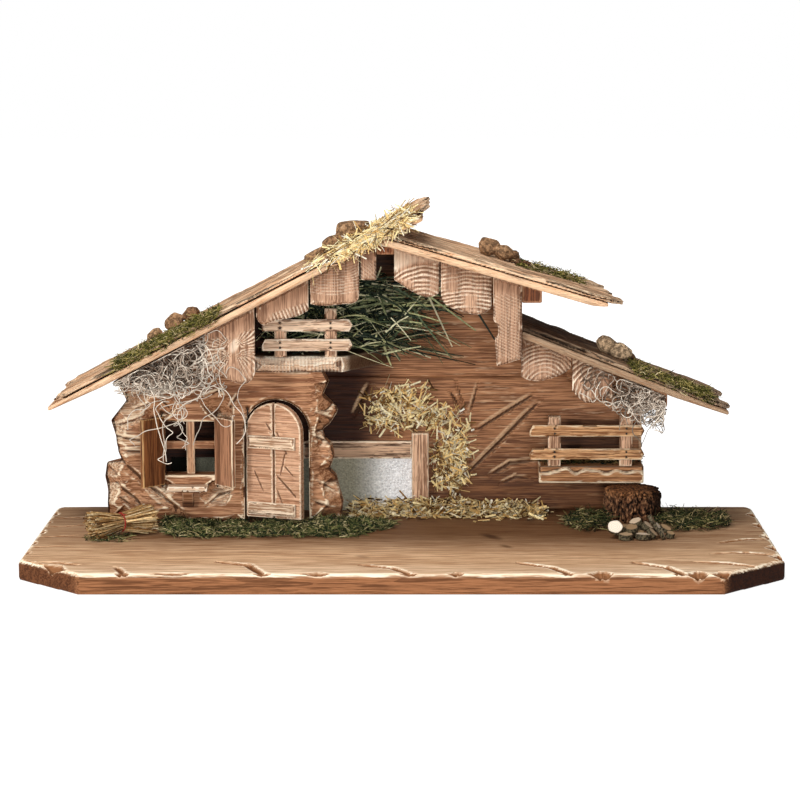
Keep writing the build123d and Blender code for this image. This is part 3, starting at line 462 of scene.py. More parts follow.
def woodFinish(name, look):
    f = Finish(name)
    turn = grainTurns[look["grain"]]
    ring = look.get("ring", 0.0045)
    fibre = f.noise(f.place(turn, (18, 640, 640)), 1.0, 4.0, 0.65)
    streak = f.noise(f.place(turn, (5, 120, 120), (0.3, 0.1, 0.2)), 1.0, 2.0, 0.5)
    rings = f.node(
        "ShaderNodeTexWave",
        {"wave_type": "RINGS", "rings_direction": "X", "wave_profile": "SAW"},
        {
            "Vector": f.place(turn, (0.1, 1, 1), look.get("heart", (0, 0.03, -0.25))),
            "Scale": 0.314 / ring, "Distortion": look.get("waver", 5.0), "Detail": 2.0, "Detail Scale": 1.2,
        },
        1,
    )
    blotch = f.noise(f.place(turn, (7, 22, 22)), 1.0, 3.0, 0.6)
    brush = f.noise(f.place(turn, (40, 1150, 1150)), 1.0, 2.0, 0.5)
    ringShare = look.get("ringShare", 0.08)
    tone = fibre * 0.5 + streak * look.get("streak", 0.2) + brush * 0.3 + rings * ringShare
    middle = 0.4 + look.get("streak", 0.2) / 2 + ringShare / 2
    tone = f.ramp(tone, middle - 0.065, middle + 0.065)
    colour = f.blend(tone, look["dark"], look["light"])
    colour = f.blend(f.ramp(blotch, 0.4, 0.75) * look.get("blotch", 0.5), colour, look["blush"])
    pores = f.noise(f.place(turn, (26, 850, 850), (0.1, 0.2, 0.3)), 1.0, 3.0, 0.6)
    colour = f.blend(f.ramp(pores, 0.56, 0.68) * look.get("pores", 0.65), colour, look["deep"])
    if "flecks" in look:   # pale broken glints of brushed grain
        flecks = f.noise(f.place(turn, (34, 260, 260), (0.4, 0.3, 0.1)), 1.0, 3.0, 0.6)
        colour = f.blend(f.ramp(flecks, 0.56, 0.72) * look["flecks"], colour, look["pale"])
    if "knot" in look:
        colour = f.blend(f.layer("knot"), colour, look["knot"])
    if "front" in look:   # painted light: paler towards the front edge, where the light falls
        depth = f.axis(1)
        frontLight = f.ramp(depth + blotch * 0.04, -0.075, -0.135) * 0.75
        colour = f.blend(frontLight, colour, f.blend(tone, look["frontDark"], look["front"]))
        across = f.axis(0)
        outer = f.ramp(f.node("ShaderNodeMath", {"operation": "ABSOLUTE"}, {0: across}), 0.20, 0.33)
        # painted shade: darker towards the back, in the shade under the roof
        backShade = f.ramp(depth + blotch * 0.03, *look["backShadeRange"]) * (1 - outer * 0.55)
        colour = f.blend(backShade, colour, look["back"], "MULTIPLY")
    if "edge" in look:   # tone of the board's edges
        colour = f.blend(f.layer("side"), colour, f.blend(tone, look["edgeDark"], look["edge"]))
        colour = f.blend(f.layer("side") * f.ramp(fibre, 0.52, 0.66) * 0.5, colour, look["edgeDark"])
    if "corner" in look:   # painted shade on the clipped end faces at both corners, darkest at the right one, which faces away from the light
        clippedShade = f.layer("side") * f.ramp(depth, -0.086, -0.092)
        colour = f.blend(clippedShade * f.ramp(across, 0.286, 0.296), colour, look["corner"], "MULTIPLY")
        colour = f.blend(clippedShade * f.ramp(across, -0.286, -0.296), colour, look["leftCornerShade"], "MULTIPLY")
    if "inside" in look:   # painted shade behind the house front, where the house keeps the light out
        across = f.axis(0)
        inward = f.axis(1)
        houseShade = f.ramp(inward, *look["insideShadeTo"]) * f.ramp(across, *look["insideShadeFrom"])
        colour = f.blend(f.ramp(across, 0.002, -0.052) * houseShade, colour, look["inside"], "MULTIPLY")
    if "low" in look:   # painted shade, darker towards the floor
        rise = f.axis(2)
        colour = f.blend(f.ramp(rise, *look["lowShadeRange"]), colour, look["low"], "MULTIPLY")
    colour = f.blend(f.layer("cut") * look.get("cutStain", 0.0), colour, look.get("stain", look["deep"]))
    broken = f.noise(f.place(turn, (46, 560, 560)), 1.0, 4.0, 0.65)
    sunk = f.ramp(f.layer("hollow") + broken * 0.5, 0.45, 0.95) * look.get("cutShade", 0.85)
    colour = f.blend(sunk, colour, look["deep"])
    lit = f.layer("lit") * (0.15 + f.ramp(broken, 0.44, 0.62) * 0.85) * look.get("litShare", 0.6)
    colour = f.blend(lit, colour, look["pale"])
    # pale ridges; on the back wall and house front this is the painted highlight beside the cuts
    if "crest" in look:
        crest = f.layer("crest") * (0.45 + f.ramp(broken, 0.35, 0.6) * 0.55) * look["crest"]
        colour = f.blend(crest, colour, look["pale"])
    wear = f.layer("wear") * (1 - f.layer("cut") * look.get("cutKeep", 0.0))
    wearAt = look.get("wearAt", 1.85)
    worn = f.ramp(broken * 3.0 + wear, wearAt, wearAt + 0.8) * f.ramp(wear, 0.02, 0.25)
    colour = f.blend(worn * look.get("worn", 0.85), colour, look["pale"])
    colour = f.blend(f.layer("shade"), colour, look.get("shadeTone", (0.22, 0.17, 0.14)), "MULTIPLY")
    if "behind" in look:   # painted shade, darker away from the front
        inward = f.axis(1)
        colour = f.blend(f.ramp(inward, *look["behindShadeRange"]), colour, look["behind"], "MULTIPLY")
    height = fibre * 0.6 + brush * 0.35 + rings * look.get("ridge", 0.1) - f.ramp(pores, 0.54, 0.66) * 0.35
    return f.finish(
        Base_Color=colour,
        Roughness=0.5 + fibre * 0.25,
        Normal=f.bump(height, look.get("bump", 0.4), 0.0007),
        Specular_IOR_Level=look.get("shine", 0.25),
    )


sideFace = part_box("house_side_wall")[0].x   # outer face of the house's side wall
woodLooks = {
    "baseWood": {
        "grain": "x", "dark": (0.36, 0.18, 0.085), "light": (0.82, 0.56, 0.35),
        "blush": (0.54, 0.315, 0.17), "deep": (0.17, 0.07, 0.028), "pale": (0.96, 0.83, 0.64),
        "ring": 0.006, "ringShare": 0.06, "ridge": 0.0, "bump": 0.25, "heart": (0, 0.4, 0.05),
        "edge": (0.35, 0.15, 0.066), "edgeDark": (0.13, 0.05, 0.02), "back": (0.24, 0.185, 0.145),
        "front": (0.98, 0.78, 0.57), "frontDark": (0.58, 0.37, 0.23), "knot": (0.13, 0.055, 0.022),
        "backShadeRange": (-0.075, 0.035), "cutStain": 0.9, "stain": (0.25, 0.10, 0.036), "waver": 9.0,
        "litShare": 0.0, "worn": 1.0, "wearAt": 1.55, "pores": 0.3, "streak": 0.12, "cutKeep": 0.5,
        "corner": (0.12, 0.07, 0.04), "leftCornerShade": (0.52, 0.45, 0.40), "shine": 0.1,
    },
    "houseWood": {
        "grain": "x", "dark": (0.22, 0.085, 0.036), "light": (0.58, 0.31, 0.165),
        "blush": (0.40, 0.185, 0.085), "deep": (0.05, 0.018, 0.007), "pale": (0.98, 0.82, 0.60),
        "ring": 0.005, "blotch": 0.35, "worn": 1.0, "wearAt": 1.6, "crest": 0.8, "litShare": 0.85,
    },
    "bracketWood": {
        "grain": "x", "dark": (0.20, 0.08, 0.034), "light": (0.52, 0.27, 0.14),
        "blush": (0.38, 0.17, 0.08), "deep": (0.05, 0.018, 0.007), "pale": (0.80, 0.58, 0.38), "worn": 0.2,
    },
    "plasterRailWood": {
        "grain": "x", "dark": (0.06, 0.03, 0.015), "light": (0.66, 0.43, 0.28),
        "blush": (0.26, 0.15, 0.09), "streak": 0.7, "pores": 0.9, "deep": (0.05, 0.022, 0.01),
        "pale": (0.95, 0.82, 0.64),
    },
    "doorWood": {
        "grain": "door", "dark": (0.36, 0.175, 0.092), "light": (0.69, 0.425, 0.275),
        "blush": (0.56, 0.31, 0.19), "deep": (0.10, 0.04, 0.018), "pale": (0.97, 0.82, 0.62),
        "ring": 0.005, "worn": 0.75, "pores": 0.5,
    },
    "shutterWood": {
        "grain": "z", "dark": (0.12, 0.048, 0.022), "light": (0.50, 0.25, 0.14),
        "blush": (0.32, 0.15, 0.08), "shadeTone": (0.60, 0.44, 0.26), "streak": 0.4,
        "deep": (0.03, 0.012, 0.005), "pale": (0.95, 0.78, 0.56), "ring": 0.005,
    },
    "mullionWood": {
        "grain": "z", "dark": (0.20, 0.09, 0.045), "light": (0.62, 0.36, 0.21),
        "blush": (0.42, 0.22, 0.12), "deep": (0.05, 0.018, 0.007), "pale": (0.92, 0.74, 0.52), "worn": 0.5,
    },
    "battenWood": {
        "grain": "door", "dark": (0.34, 0.185, 0.10), "light": (0.93, 0.74, 0.55),
        "blush": (0.74, 0.52, 0.34), "deep": (0.12, 0.05, 0.02), "pale": (0.98, 0.86, 0.68), "ring": 0.003,
    },
    "wallWood": {
        "grain": "x", "dark": (0.15, 0.058, 0.024), "light": (0.46, 0.22, 0.105),
        "blush": (0.32, 0.14, 0.062), "deep": (0.040, 0.014, 0.005), "pale": (0.84, 0.58, 0.36),
        "ring": 0.0030, "ringShare": 0.06, "ridge": 0.15, "crest": 0.75, "heart": (0, 0.05, -0.6),
        "waver": 9.0, "bump": 0.6, "inside": (0.12, 0.058, 0.027), "insideShadeTo": (0.142, 0.139),
        "insideShadeFrom": (sideFace + 0.002, sideFace + 0.004), "flecks": 0.4, "litShare": 0.3,
        "pores": 0.55, "streak": 0.12, "low": (0.50, 0.44, 0.38), "lowShadeRange": (0.115, 0.035),
    },
    "trimWood": {
        "grain": "z", "dark": (0.22, 0.112, 0.062), "light": (0.58, 0.355, 0.23),
        "blush": (0.42, 0.24, 0.15), "crest": 0.9, "deep": (0.14, 0.06, 0.03),
        "pale": (0.98, 0.84, 0.67), "ringShare": 0.0, "ridge": 0.0, "worn": 0.75, "pores": 0.4,
        "cutShade": 0.75, "shadeTone": (0.62, 0.54, 0.48),
    },
    "railWood": {
        "grain": "x", "dark": (0.24, 0.092, 0.03), "light": (0.82, 0.48, 0.235),
        "blush": (0.56, 0.27, 0.115), "pores": 0.8, "deep": (0.08, 0.028, 0.01),
        "pale": (0.96, 0.78, 0.54), "ring": 0.003,
    },
    "shelfWood": {
        "grain": "x", "dark": (0.22, 0.085, 0.03), "light": (0.60, 0.31, 0.14),
        "blush": (0.44, 0.20, 0.08), "litShare": 0.12, "worn": 0.95, "crest": 1.0,
        "deep": (0.05, 0.018, 0.007), "pale": (0.98, 0.84, 0.62), "ring": 0.003,
    },
    "loftWood": {
        "grain": "x", "dark": (0.30, 0.155, 0.085), "light": (0.97, 0.74, 0.54),
        "blush": (0.70, 0.46, 0.30), "pores": 0.8, "deep": (0.12, 0.05, 0.025),
        "pale": (0.98, 0.87, 0.71), "ring": 0.003,
    },
    "beamWood": {
        "grain": "x", "dark": (0.52, 0.30, 0.18), "light": (0.96, 0.74, 0.54),
        "blush": (0.78, 0.54, 0.37), "deep": (0.12, 0.05, 0.025), "pale": (0.99, 0.90, 0.75),
        "ring": 0.003, "crest": 0.9, "behind": (0.14, 0.10, 0.075), "behindShadeRange": (0.066, 0.078),
    },
    "postWood": {
        "grain": "z", "dark": (0.22, 0.105, 0.054), "light": (0.82, 0.53, 0.35),
        "blush": (0.54, 0.31, 0.19), "pores": 0.8, "deep": (0.12, 0.05, 0.02),
        "pale": (0.95, 0.80, 0.60), "ring": 0.003, "worn": 0.55,
    },
    # painted shade: the purlins are painted near black, as they sit in the dark under the roof
    "shadedPurlinWood": {
        "grain": "z", "dark": (0.10, 0.03, 0.01), "light": (0.28, 0.09, 0.032),
        "blush": (0.15, 0.05, 0.018), "deep": (0.03, 0.01, 0.005), "pale": (0.45, 0.22, 0.11),
        "ring": 0.003,
    },
}


def toneInLight(fade, *tone):
    return tuple(value * fade for value in tone)


# one wood for all three slopes, scaled for the light each gets: painted shade on the lower slope, painted
# light on the left and upper slopes
for slopeName, fade in (("left", 1.07), ("upper", 1.12), ("lower", 0.56)):
    woodLooks[slopeName + "Planks"] = {
        "grain": slopeName, "dark": toneInLight(fade, 0.14, 0.062, 0.028), "light": toneInLight(fade, 0.68, 0.40, 0.23),
        "blush": toneInLight(fade, 0.46, 0.25, 0.13), "deep": (0.03, 0.014, 0.006),
        "pale": toneInLight(fade, 0.88, 0.67, 0.46), "ring": 0.0035,
        "bump": 0.9, "cutShade": 0.95, "worn": 0.6, "cutStain": 0.6, "stain": (0.14, 0.065, 0.03),
        "waver": 8.0, "pores": 0.85, "blotch": 0.6}
    woodLooks[slopeName + "Boards"] = {
        "grain": slopeName, "dark": toneInLight(fade, 0.24, 0.10, 0.044), "light": toneInLight(fade, 0.62, 0.33, 0.17),
        "blush": toneInLight(fade, 0.46, 0.235, 0.115), "deep": (0.07, 0.03, 0.013),
        "pale": toneInLight(fade, 0.86, 0.64, 0.43), "ring": 0.0025,
        "bump": 0.6, "worn": 0.55, "pores": 0.85}
woods = {name: woodFinish(name, look) for name, look in woodLooks.items()}
print("wood finishes made")


def strandFinish(name, stops, roughness=0.75, mottled=0.45):
    # one tone for each loose strand
    f = Finish(name)
    chance = f.node("ShaderNodeNewGeometry", out=8)
    colour = f.node("ShaderNodeValToRGB", {"stops": stops}, {0: chance})
    mottle = f.speckle(420, 2.0)
    colour = f.blend(f.ramp(mottle, 0.3, 0.7), f.blend(mottled, colour, (0.0, 0.0, 0.0)), colour)
    # the shade layer darkens as painted shade; the pale layer lifts strands to the palest tone as painted
    # light
    colour = f.blend(f.layer("shade"), colour, (0.45, 0.36, 0.26), "MULTIPLY")
    colour = f.blend(f.layer("pale") * 0.5, colour, stops[-1][1])
    return f.finish(Base_Color=colour, Roughness=roughness, Specular_IOR_Level=0.2)


strawFinish = strandFinish("strawFinish", [
    (0.0, (0.04, 0.018, 0.006)), (0.16, (0.26, 0.135, 0.042)), (0.28, (0.92, 0.60, 0.22)),
    (0.52, (1.0, 0.82, 0.42)), (0.82, (1.0, 0.90, 0.58)), (1.0, (1.0, 0.97, 0.86))], 0.6, 0.25)
sheafFinish = strandFinish("sheafFinish", [
    (0.0, (0.08, 0.036, 0.012)), (0.25, (0.42, 0.22, 0.075)), (0.55, (0.86, 0.57, 0.25)),
    (0.85, (1.0, 0.80, 0.46)), (1.0, (1.0, 0.94, 0.76))], 0.65)
mossFinish = strandFinish("mossFinish", [
    (0.0, (0.006, 0.011, 0.004)), (0.40, (0.032, 0.053, 0.016)), (0.64, (0.13, 0.152, 0.046)),
    (0.85, (0.34, 0.30, 0.12)), (1.0, (0.82, 0.68, 0.38))])
roofMossFinish = strandFinish("roofMossFinish", [
    (0.0, (0.022, 0.024, 0.005)), (0.32, (0.095, 0.095, 0.018)), (0.62, (0.24, 0.215, 0.044)),
    (0.86, (0.50, 0.40, 0.14)), (1.0, (0.84, 0.70, 0.42))])
hayFinish = strandFinish("hayFinish", [
    (0.0, (0.004, 0.008, 0.005)), (0.40, (0.022, 0.038, 0.023)), (0.58, (0.11, 0.15, 0.075)),
    (0.77, (0.48, 0.50, 0.24)), (1.0, (1.0, 0.95, 0.66))], 0.6)
lichenFinish = strandFinish("lichenFinish", [
    (0.0, (0.05, 0.034, 0.024)), (0.32, (0.20, 0.14, 0.10)), (0.64, (0.56, 0.45, 0.36)),
    (1.0, (0.97, 0.89, 0.77))])


# base board

def baseWorn(points):
    patchy = 0.5 + 0.5 * smooth(-0.3, 0.3, cloud(points, 0.028, 14))
    return smooth(0.0150, 0.0180, points[:, 2]) * patchy


baseLook = {
    "voxel": 0.00155, "reach": 0.014, "depth": 0.0150, "bevel": 0.07, "uneven": 0.7, "cell": 0.020,
    "seed": 4, "rough": 0.00012, "keep": 0.5,
    "lump": 0.02, "least": 0.05, "spread": 1, "cutRange": (0.0006, 0.0018),
    "worn": baseWorn,
    "chips": (  # across, along, half width, size as a share of reach and depth
        (-0.246, -0.150, 0.008, 0.80), (-0.200, -0.150, 0.022, 0.32), (-0.121, -0.150, 0.010, 0.50),
        (-0.072, -0.150, 0.016, 0.45), (0.010, -0.150, 0.011, 0.40), (0.052, -0.150, 0.009, 0.62),
        (0.151, -0.150, 0.008, 0.42), (0.182, -0.150, 0.013, 0.95), (0.250, -0.150, 0.007, 0.5),
        (0.268, -0.150, 0.012, 0.95), (0.291, -0.146, 0.012, 0.75), (-0.312, -0.122, 0.013, 0.7),
        (0.347, -0.078, 0.012, 0.8), (0.350, -0.040, 0.013, 0.7), (0.350, 0.010, 0.010, 0.6),
        (0.350, 0.060, 0.012, 0.7), (0.350, 0.110, 0.012, 0.6), (-0.350, -0.060, 0.009, 0.6),
        (-0.350, -0.020, 0.009, 0.5), (-0.350, 0.030, 0.010, 0.6), (-0.350, 0.075, 0.009, 0.5),
        (-0.350, 0.115, 0.010, 0.6)),
    "knots": (  # across, along, half length, half width, strength
        (0.084, 0.006, 0.010, 0.0200, 0.85), (0.097, -0.037, 0.006, 0.0110, 0.7),
        (-0.036, -0.080, 0.008, 0.0100, 0.4)),
    "grooves": (  # long curved cuts in the top: path, width, depth
        (((-0.166, -0.100), (-0.138, -0.112), (-0.122, -0.149)), 0.010, 0.0050),
        (((-0.036, -0.112), (-0.008, -0.124), (0.010, -0.149)), 0.009, 0.0045),
        (((0.106, -0.104), (0.136, -0.122), (0.152, -0.149)), 0.009, 0.0045),
        (((0.212, -0.104), (0.240, -0.122), (0.253, -0.149)), 0.010, 0.0050),
        (((0.268, -0.100), (0.296, -0.106), (0.318, -0.118)), 0.009, 0.004),
        (((0.286, -0.066), (0.318, -0.062), (0.340, -0.072)), 0.008, 0.003),
        (((0.296, -0.020), (0.325, -0.006), (0.348, -0.002)), 0.007, 0.003),
        (((-0.330, -0.100), (-0.310, -0.104), (-0.292, -0.112)), 0.008, 0.003),
        (((-0.258, -0.120), (-0.252, -0.132), (-0.247, -0.147)), 0.008, 0.003),
        (((-0.345, 0.090), (-0.325, 0.094), (-0.305, 0.098)), 0.006, 0.002),
        (((-0.347, 0.050), (-0.328, 0.053), (-0.308, 0.060)), 0.006, 0.002),
        (((-0.348, 0.005), (-0.330, 0.008), (-0.312, 0.012)), 0.006, 0.002),
        (((-0.348, -0.040), (-0.330, -0.036), (-0.310, -0.034)), 0.006, 0.002)),
}


def baseSurface(flat, inset, spot):
    return cuts(flat, baseLook["grooves"])


board = carve("base_board", "carvedBase", topView, baseLook, baseSurface)
points = readPoints(board)
knots = np.zeros(len(points))
for x, y, length, width, strength in baseLook["knots"]:
    far = np.hypot((points[:, 0] - x + 0.5 * (points[:, 1] - y)) / length, (points[:, 1] - y) / width)
    knots = np.maximum(knots, strength * smooth(1.0, 0.25, far))
face = np.hypot((points[:, 0] - 0.077) / 0.010, (points[:, 2] - 0.008) / 0.0075)   # knot in the front face
face = np.where(points[:, 1] < -0.145, 0.5 * smooth(0.35, 0.5, face) * smooth(1.0, 0.8, face), 0)
knots = np.maximum(knots, face)
writeLayer(board, "knot", knots)
dress(board, "stable", woods["baseWood"], "base_wood", "base_board")
print("base board carved")

# back wall

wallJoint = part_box("back_wall_lower")[1].z
wallLook = {
    "voxel": 0.0016, "reach": 0.004, "depth": 0.002, "bevel": 0.15, "rough": 0.0003, "lump": 0.03,
    "lip": (-0.0014, 0.0020),
    "worn": lambda points: smooth(0.024, 0.030, points[:, 2]) * (np.abs(points[:, 2] - wallJoint) > 0.004),
    "grooves": (
        (((0.131, 0.136), (0.071, 0.098)), 0.0065, 0.0026),
        (((0.137, 0.130), (0.059, 0.050)), 0.0070, 0.0028),
        (((0.051, 0.152), (0.064, 0.109)), 0.0045, 0.0018),
        (((0.075, 0.150), (0.064, 0.109)), 0.0045, 0.0018),
        (((0.086, 0.054), (0.106, 0.066), (0.131, 0.069)), 0.007, 0.003),
        (((-0.034, 0.146), (-0.050, 0.113)), 0.006, 0.003),
        (((0.045, 0.140), (0.058, 0.120)), 0.005, 0.002),
        (((0.096, 0.045), (0.112, 0.052), (0.128, 0.050)), 0.006, 0.002),
        (((-0.010, 0.215), (0.040, 0.185)), 0.005, 0.002),
        (((0.150, 0.170), (0.185, 0.130)), 0.005, 0.002)),
}


def wallSurface(flat, inset, spot):
    return cuts(flat, wallLook["grooves"])


for wallBoard in ("back_wall_lower", "back_wall_upper"):
    board = carve(wallBoard, "carved_" + wallBoard, frontView, wallLook, wallSurface)
    x, y, z = readPoints(board).T
    behindRails = smooth(0.140, 0.156, x) * smooth(0.232, 0.222, x)
    behindRails = behindRails * smooth(0.062, 0.072, z) * smooth(0.118, 0.104, z)
    underRidge = smooth(0.252, 0.266, z) * smooth(0.03, 0.02, np.abs(x + 0.015))
    writeLayer(board, "shade", np.maximum(0.85 * behindRails, underRidge) * smooth(0.142, 0.139, y))
    dress(board, "stable", woods["wallWood"], "wall_wood", wallBoard)
print("back wall carved")

# house front

doorMiddle = -0.12355
windowMiddle = (-0.20765, 0.0922)   # across and up
houseLook = {
    "voxel": 0.0010, "reach": 0.020, "depth": 0.013, "bevel": 0.95, "cell": 0.017, "seed": 9,
    "rough": 0.0004, "lump": 0.012,
    "least": 0.05, "lip": (-0.0012, 0.0016),
    "grooves": (
        (((-0.274, 0.080), (-0.246, 0.052), (-0.212, 0.026)), 0.011, 0.005),
        (((-0.286, 0.062), (-0.262, 0.042), (-0.248, 0.024)), 0.010, 0.004),
        (((-0.280, 0.046), (-0.262, 0.032)), 0.008, 0.003),
        (((-0.284, 0.104), (-0.252, 0.099)), 0.009, 0.004),
        (((-0.283, 0.112), (-0.250, 0.124)), 0.009, 0.004),
        (((-0.276, 0.090), (-0.250, 0.088)), 0.008, 0.003),
        (((-0.272, 0.138), (-0.240, 0.152)), 0.009, 0.0035),
        (((-0.264, 0.128), (-0.245, 0.136)), 0.007, 0.003),
        (((-0.194, 0.034), (-0.180, 0.045), (-0.164, 0.050)), 0.006, 0.0025),
        (((-0.232, 0.040), (-0.222, 0.028)), 0.006, 0.002),
        (((-0.086, 0.128), (-0.066, 0.116)), 0.010, 0.004),
        (((-0.088, 0.104), (-0.068, 0.094)), 0.008, 0.003),
        (((-0.080, 0.084), (-0.060, 0.070)), 0.008, 0.003),
        (((-0.086, 0.060), (-0.062, 0.046)), 0.008, 0.003),
        (((-0.088, 0.040), (-0.066, 0.030)), 0.007, 0.0025),
        (((-0.200, 0.140), (-0.170, 0.152)), 0.007, 0.0025),
        (((-0.238, 0.142), (-0.226, 0.130)), 0.006, 0.002),
        (((-0.170, 0.130), (-0.160, 0.146)), 0.006, 0.002)),
}


def houseGuard(spot):
    # plain edges at the window, the doorway and under the roof
    x, z = spot.T
    window = (np.abs(x - windowMiddle[0]) < 0.028) & (np.abs(z - windowMiddle[1]) < 0.029)
    doorway = np.abs(x - doorMiddle) < 0.0325
    top = (z > 0.158) & (x > -0.262)
    return np.where(window, 0.10, np.where(doorway, 0.16, np.where(top, 0.05, 1.0)))


def houseSurface(flat, inset, spot):
    # rough facets towards the outer edges, quieter in the middle
    x = flat[:, 0]
    rim = np.maximum(smooth(-0.238, -0.270, x), smooth(-0.096, -0.072, x))
    cut = rim * 0.0042 * (1 + facets(flat, 0.019, 31, 0.9))
    cut = cut + (1 - rim) * 0.0009 * (1 + facets(flat, 0.034, 17, 0.3))
    strokes = cuts(flat, houseLook["grooves"])
    return np.clip(np.where(strokes > 0, np.maximum(cut, strokes + cut * 0.6), cut), 0, 0.009)


houseLook["guard"] = houseGuard
board = carve("house_front", "carvedHouse", frontView, houseLook, houseSurface)
dress(board, "stable", woods["houseWood"], "house_wood", "house_front")
print("house front carved")

# door, window and shutters

leafLook = {
    "voxel": 0.0009, "reach": 0.004, "depth": 0.0025, "bevel": 0.35, "uneven": 0.4, "cell": 0.012,
    "rough": 0.0003, "seed": 3}
leafStrokes = (
    (((0.020, 0.118), (0.034, 0.098)), 0.004, 0.0014), (((0.030, 0.112), (0.042, 0.088)), 0.004, 0.0014),
    (((0.028, 0.070), (0.052, 0.046)), 0.004, 0.0014), (((0.034, 0.082), (0.050, 0.066)), 0.003, 0.001),
    (((0.040, 0.092), (0.034, 0.066)), 0.003, 0.0012), (((0.005, 0.075), (0.018, 0.048)), 0.003, 0.0008),
    (((0.030, 0.055), (0.038, 0.036)), 0.003, 0.001))


def leafSurface(flat, inset, spot):
    hinge = np.array(doorHinge) @ np.array((doorView[0][0], doorView[0][1]))
    local = np.stack([flat[:, 0] - hinge, flat[:, 1]], axis=1)
    return cuts(local, leafStrokes) + 0.0002 * np.abs(cloud(np.c_[flat, flat[:, 0]], (0.003, 0.03, 0.003), 4))


for plank in ("door_plank_left", "door_plank_right"):
    board = carve(plank, "carved_" + plank, doorView, leafLook, leafSurface)
    dress(board, "door", woods["doorWood"], "house_wood", plank)
battenLook = {
    "voxel": 0.0007, "reach": 0.003, "depth": 0.002, "bevel": 0.6, "cell": 0.006, "rough": 0.0004,
    "lump": 0.004}
for batten in ("door_batten_upper", "door_batten_lower"):
    board = carve(batten, "carved_" + batten, doorView, battenLook)
    dress(board, "door", woods["battenWood"], "house_wood", batten)
shutterLook = {"voxel": 0.0007}
for shutter, body in (("shutter_left", "left_shutter"), ("shutter_right", "right_shutter")):
    board = copyNode(shutter, "carved_" + shutter, shutterLook["voxel"])
    points = readPoints(board)
    points -= readNormals(board) * (0.0004 * np.abs(cloud(points, (0.006, 0.006, 0.012), 8)))[:, None]
    writePoints(board, points)
    markEdges(board, shutterLook["voxel"])
    if shutter == "shutter_left":   # the left one turns its face from the light
        writeLayer(board, "shade", np.full(len(points), 1.0))
    dress(board, body, woods["shutterWood"], "house_wood", shutter)
barLook = {
    "voxel": 0.0008, "reach": 0.002, "depth": 0.0015, "bevel": 0.5, "cell": 0.005, "rough": 0.0003,
    "lump": 0.004}
for bar, finish, slot in (
    ("window_mullion", "mullionWood", "house_wood"), ("window_transom", "bracketWood", "house_wood"),
    ("window_ledge", "beamWood", "house_wood"), ("ledge_bracket", "bracketWood", "house_wood"),
    ("plaster_rail", "plasterRailWood", "wall_wood"), ("plaster_post", "postWood", "wall_wood"),
):
    board = carve(bar, "carved_" + bar, frontView, barLook)
    if bar == "ledge_bracket":
        writeLayer(board, "shade", smooth(0.009, 0.004, readPoints(board)[:, 2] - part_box(bar)[0].z))
    dress(board, "stable", woods[finish], slot, bar)
print("door, window and shutters carved")

# rails, posts and shelves

railLook = {
    "voxel": 0.0008, "reach": 0.004, "depth": 0.0028, "bevel": 0.55, "cell": 0.008, "rough": 0.0005,
    "lump": 0.006, "seed": 6}
for rail, finish in (
    ("loft_rail_lower", "loftWood"), ("loft_rail_upper", "loftWood"), ("loft_posts", "postWood"),
    ("balcony_rail_lower", "railWood"), ("balcony_rail_upper", "railWood"), ("balcony_posts", "postWood"),
):
    board = carve(rail, "carved_" + rail, frontView, railLook)
    dress(board, "stable", woods[finish], "rail_wood", rail)

flutePitch = 0.0034
shelfLook = {
    "voxel": 0.0011, "reach": 0.011, "depth": 0.008, "bevel": 0.8, "cell": 0.012, "seed": 12,
    "rough": 0.0003, "least": 0.25}


def fluted(flat, inset, spot):
    # upright flutes in the band under the top edge
    return 0.0006 * (1 + np.sin(flat[:, 0] * fullTurn / flutePitch)) * smooth(0.011, 0.004, inset)


def wavyLine(x):
    return shelfTop - 0.0048 - 0.0034 * cloud(np.c_[x, x * 0, x * 0], 0.010, 4)


def wavyLip(flat, inset, spot):
    return 0.0026 * smooth(-0.0004, 0.0012, flat[:, 1] - wavyLine(flat[:, 0]))


board = carve("loft_floor", "carvedLoft", frontView, shelfLook, fluted)
points = readPoints(board)
crest = smooth(0.2, 0.9, -np.sin(points[:, 0] * fullTurn / flutePitch)) * smooth(0.072, 0.066, points[:, 1])
crest = np.maximum(0.8 * crest, smooth(loftTop - 0.0045, loftTop - 0.0025, points[:, 2]))
writeLayer(board, "crest", crest * smooth(-0.6, 0.2, cloud(points, 0.008, 9)))
dress(board, "stable", woods["beamWood"], "wall_wood", "loft_floor")
balconyLook = dict(shelfLook, cell=0.016, seed=15, bevel=0.3, reach=0.005, depth=0.004)
board = carve("balcony_shelf", "carvedShelf", frontView, balconyLook, wavyLip)
points = readPoints(board)
lip = smooth(0.0013, 0.0005, np.abs(points[:, 2] - wavyLine(points[:, 0])))
lip = lip * smooth(0.112, 0.108, points[:, 1])
writeLayer(board, "crest", lip * smooth(-0.7, 0.0, cloud(points, 0.012, 3)))
dress(board, "stable", woods["shelfWood"], "rail_wood", "balcony_shelf")
print("rails and shelves carved")

# gable trims

trimLook = {
    "voxel": 0.001, "reach": 0.006, "depth": 0.004, "bevel": 0.6, "uneven": 0.4, "cell": 0.009,
    "rough": 0.0003, "least": 0.12}
trimRings = {  # middle of the gouge rings, first and last radius, pitch
    3: ((-0.066, 0.330), 0.050, 0.084, 0.0026), 5: ((0.021, 0.232), 0.014, 0.046, 0.0042),
    6: ((0.0635, 0.158), 0.074, 0.122, 0.0037), 8: ((0.135, 0.158), 0.010, 0.044, 0.0036),
    9: ((0.190, 0.150), 0.010, 0.060, 0.0040)}
trimFan = (-0.1607, 0.1965)   # middle of the fan in the first trim, across and up
fanLook = {"top": 0.2109, "slope": 0.2, "inner": 0.004, "outer": 0.040, "rays": 6.4}
slantLook = {"top": 0.2155, "from": -0.1387, "slope": 0.30, "lean": 0.35, "pitch": 0.0036}   # second trim
rimPitch = 0.0026   # of the fine gouges along the lower edges
trimLines = {4: (0.7, 0.7, 0.0027), 7: (0.45, 1.0, 0.0031)}   # across, up, pitch of slanting cuts


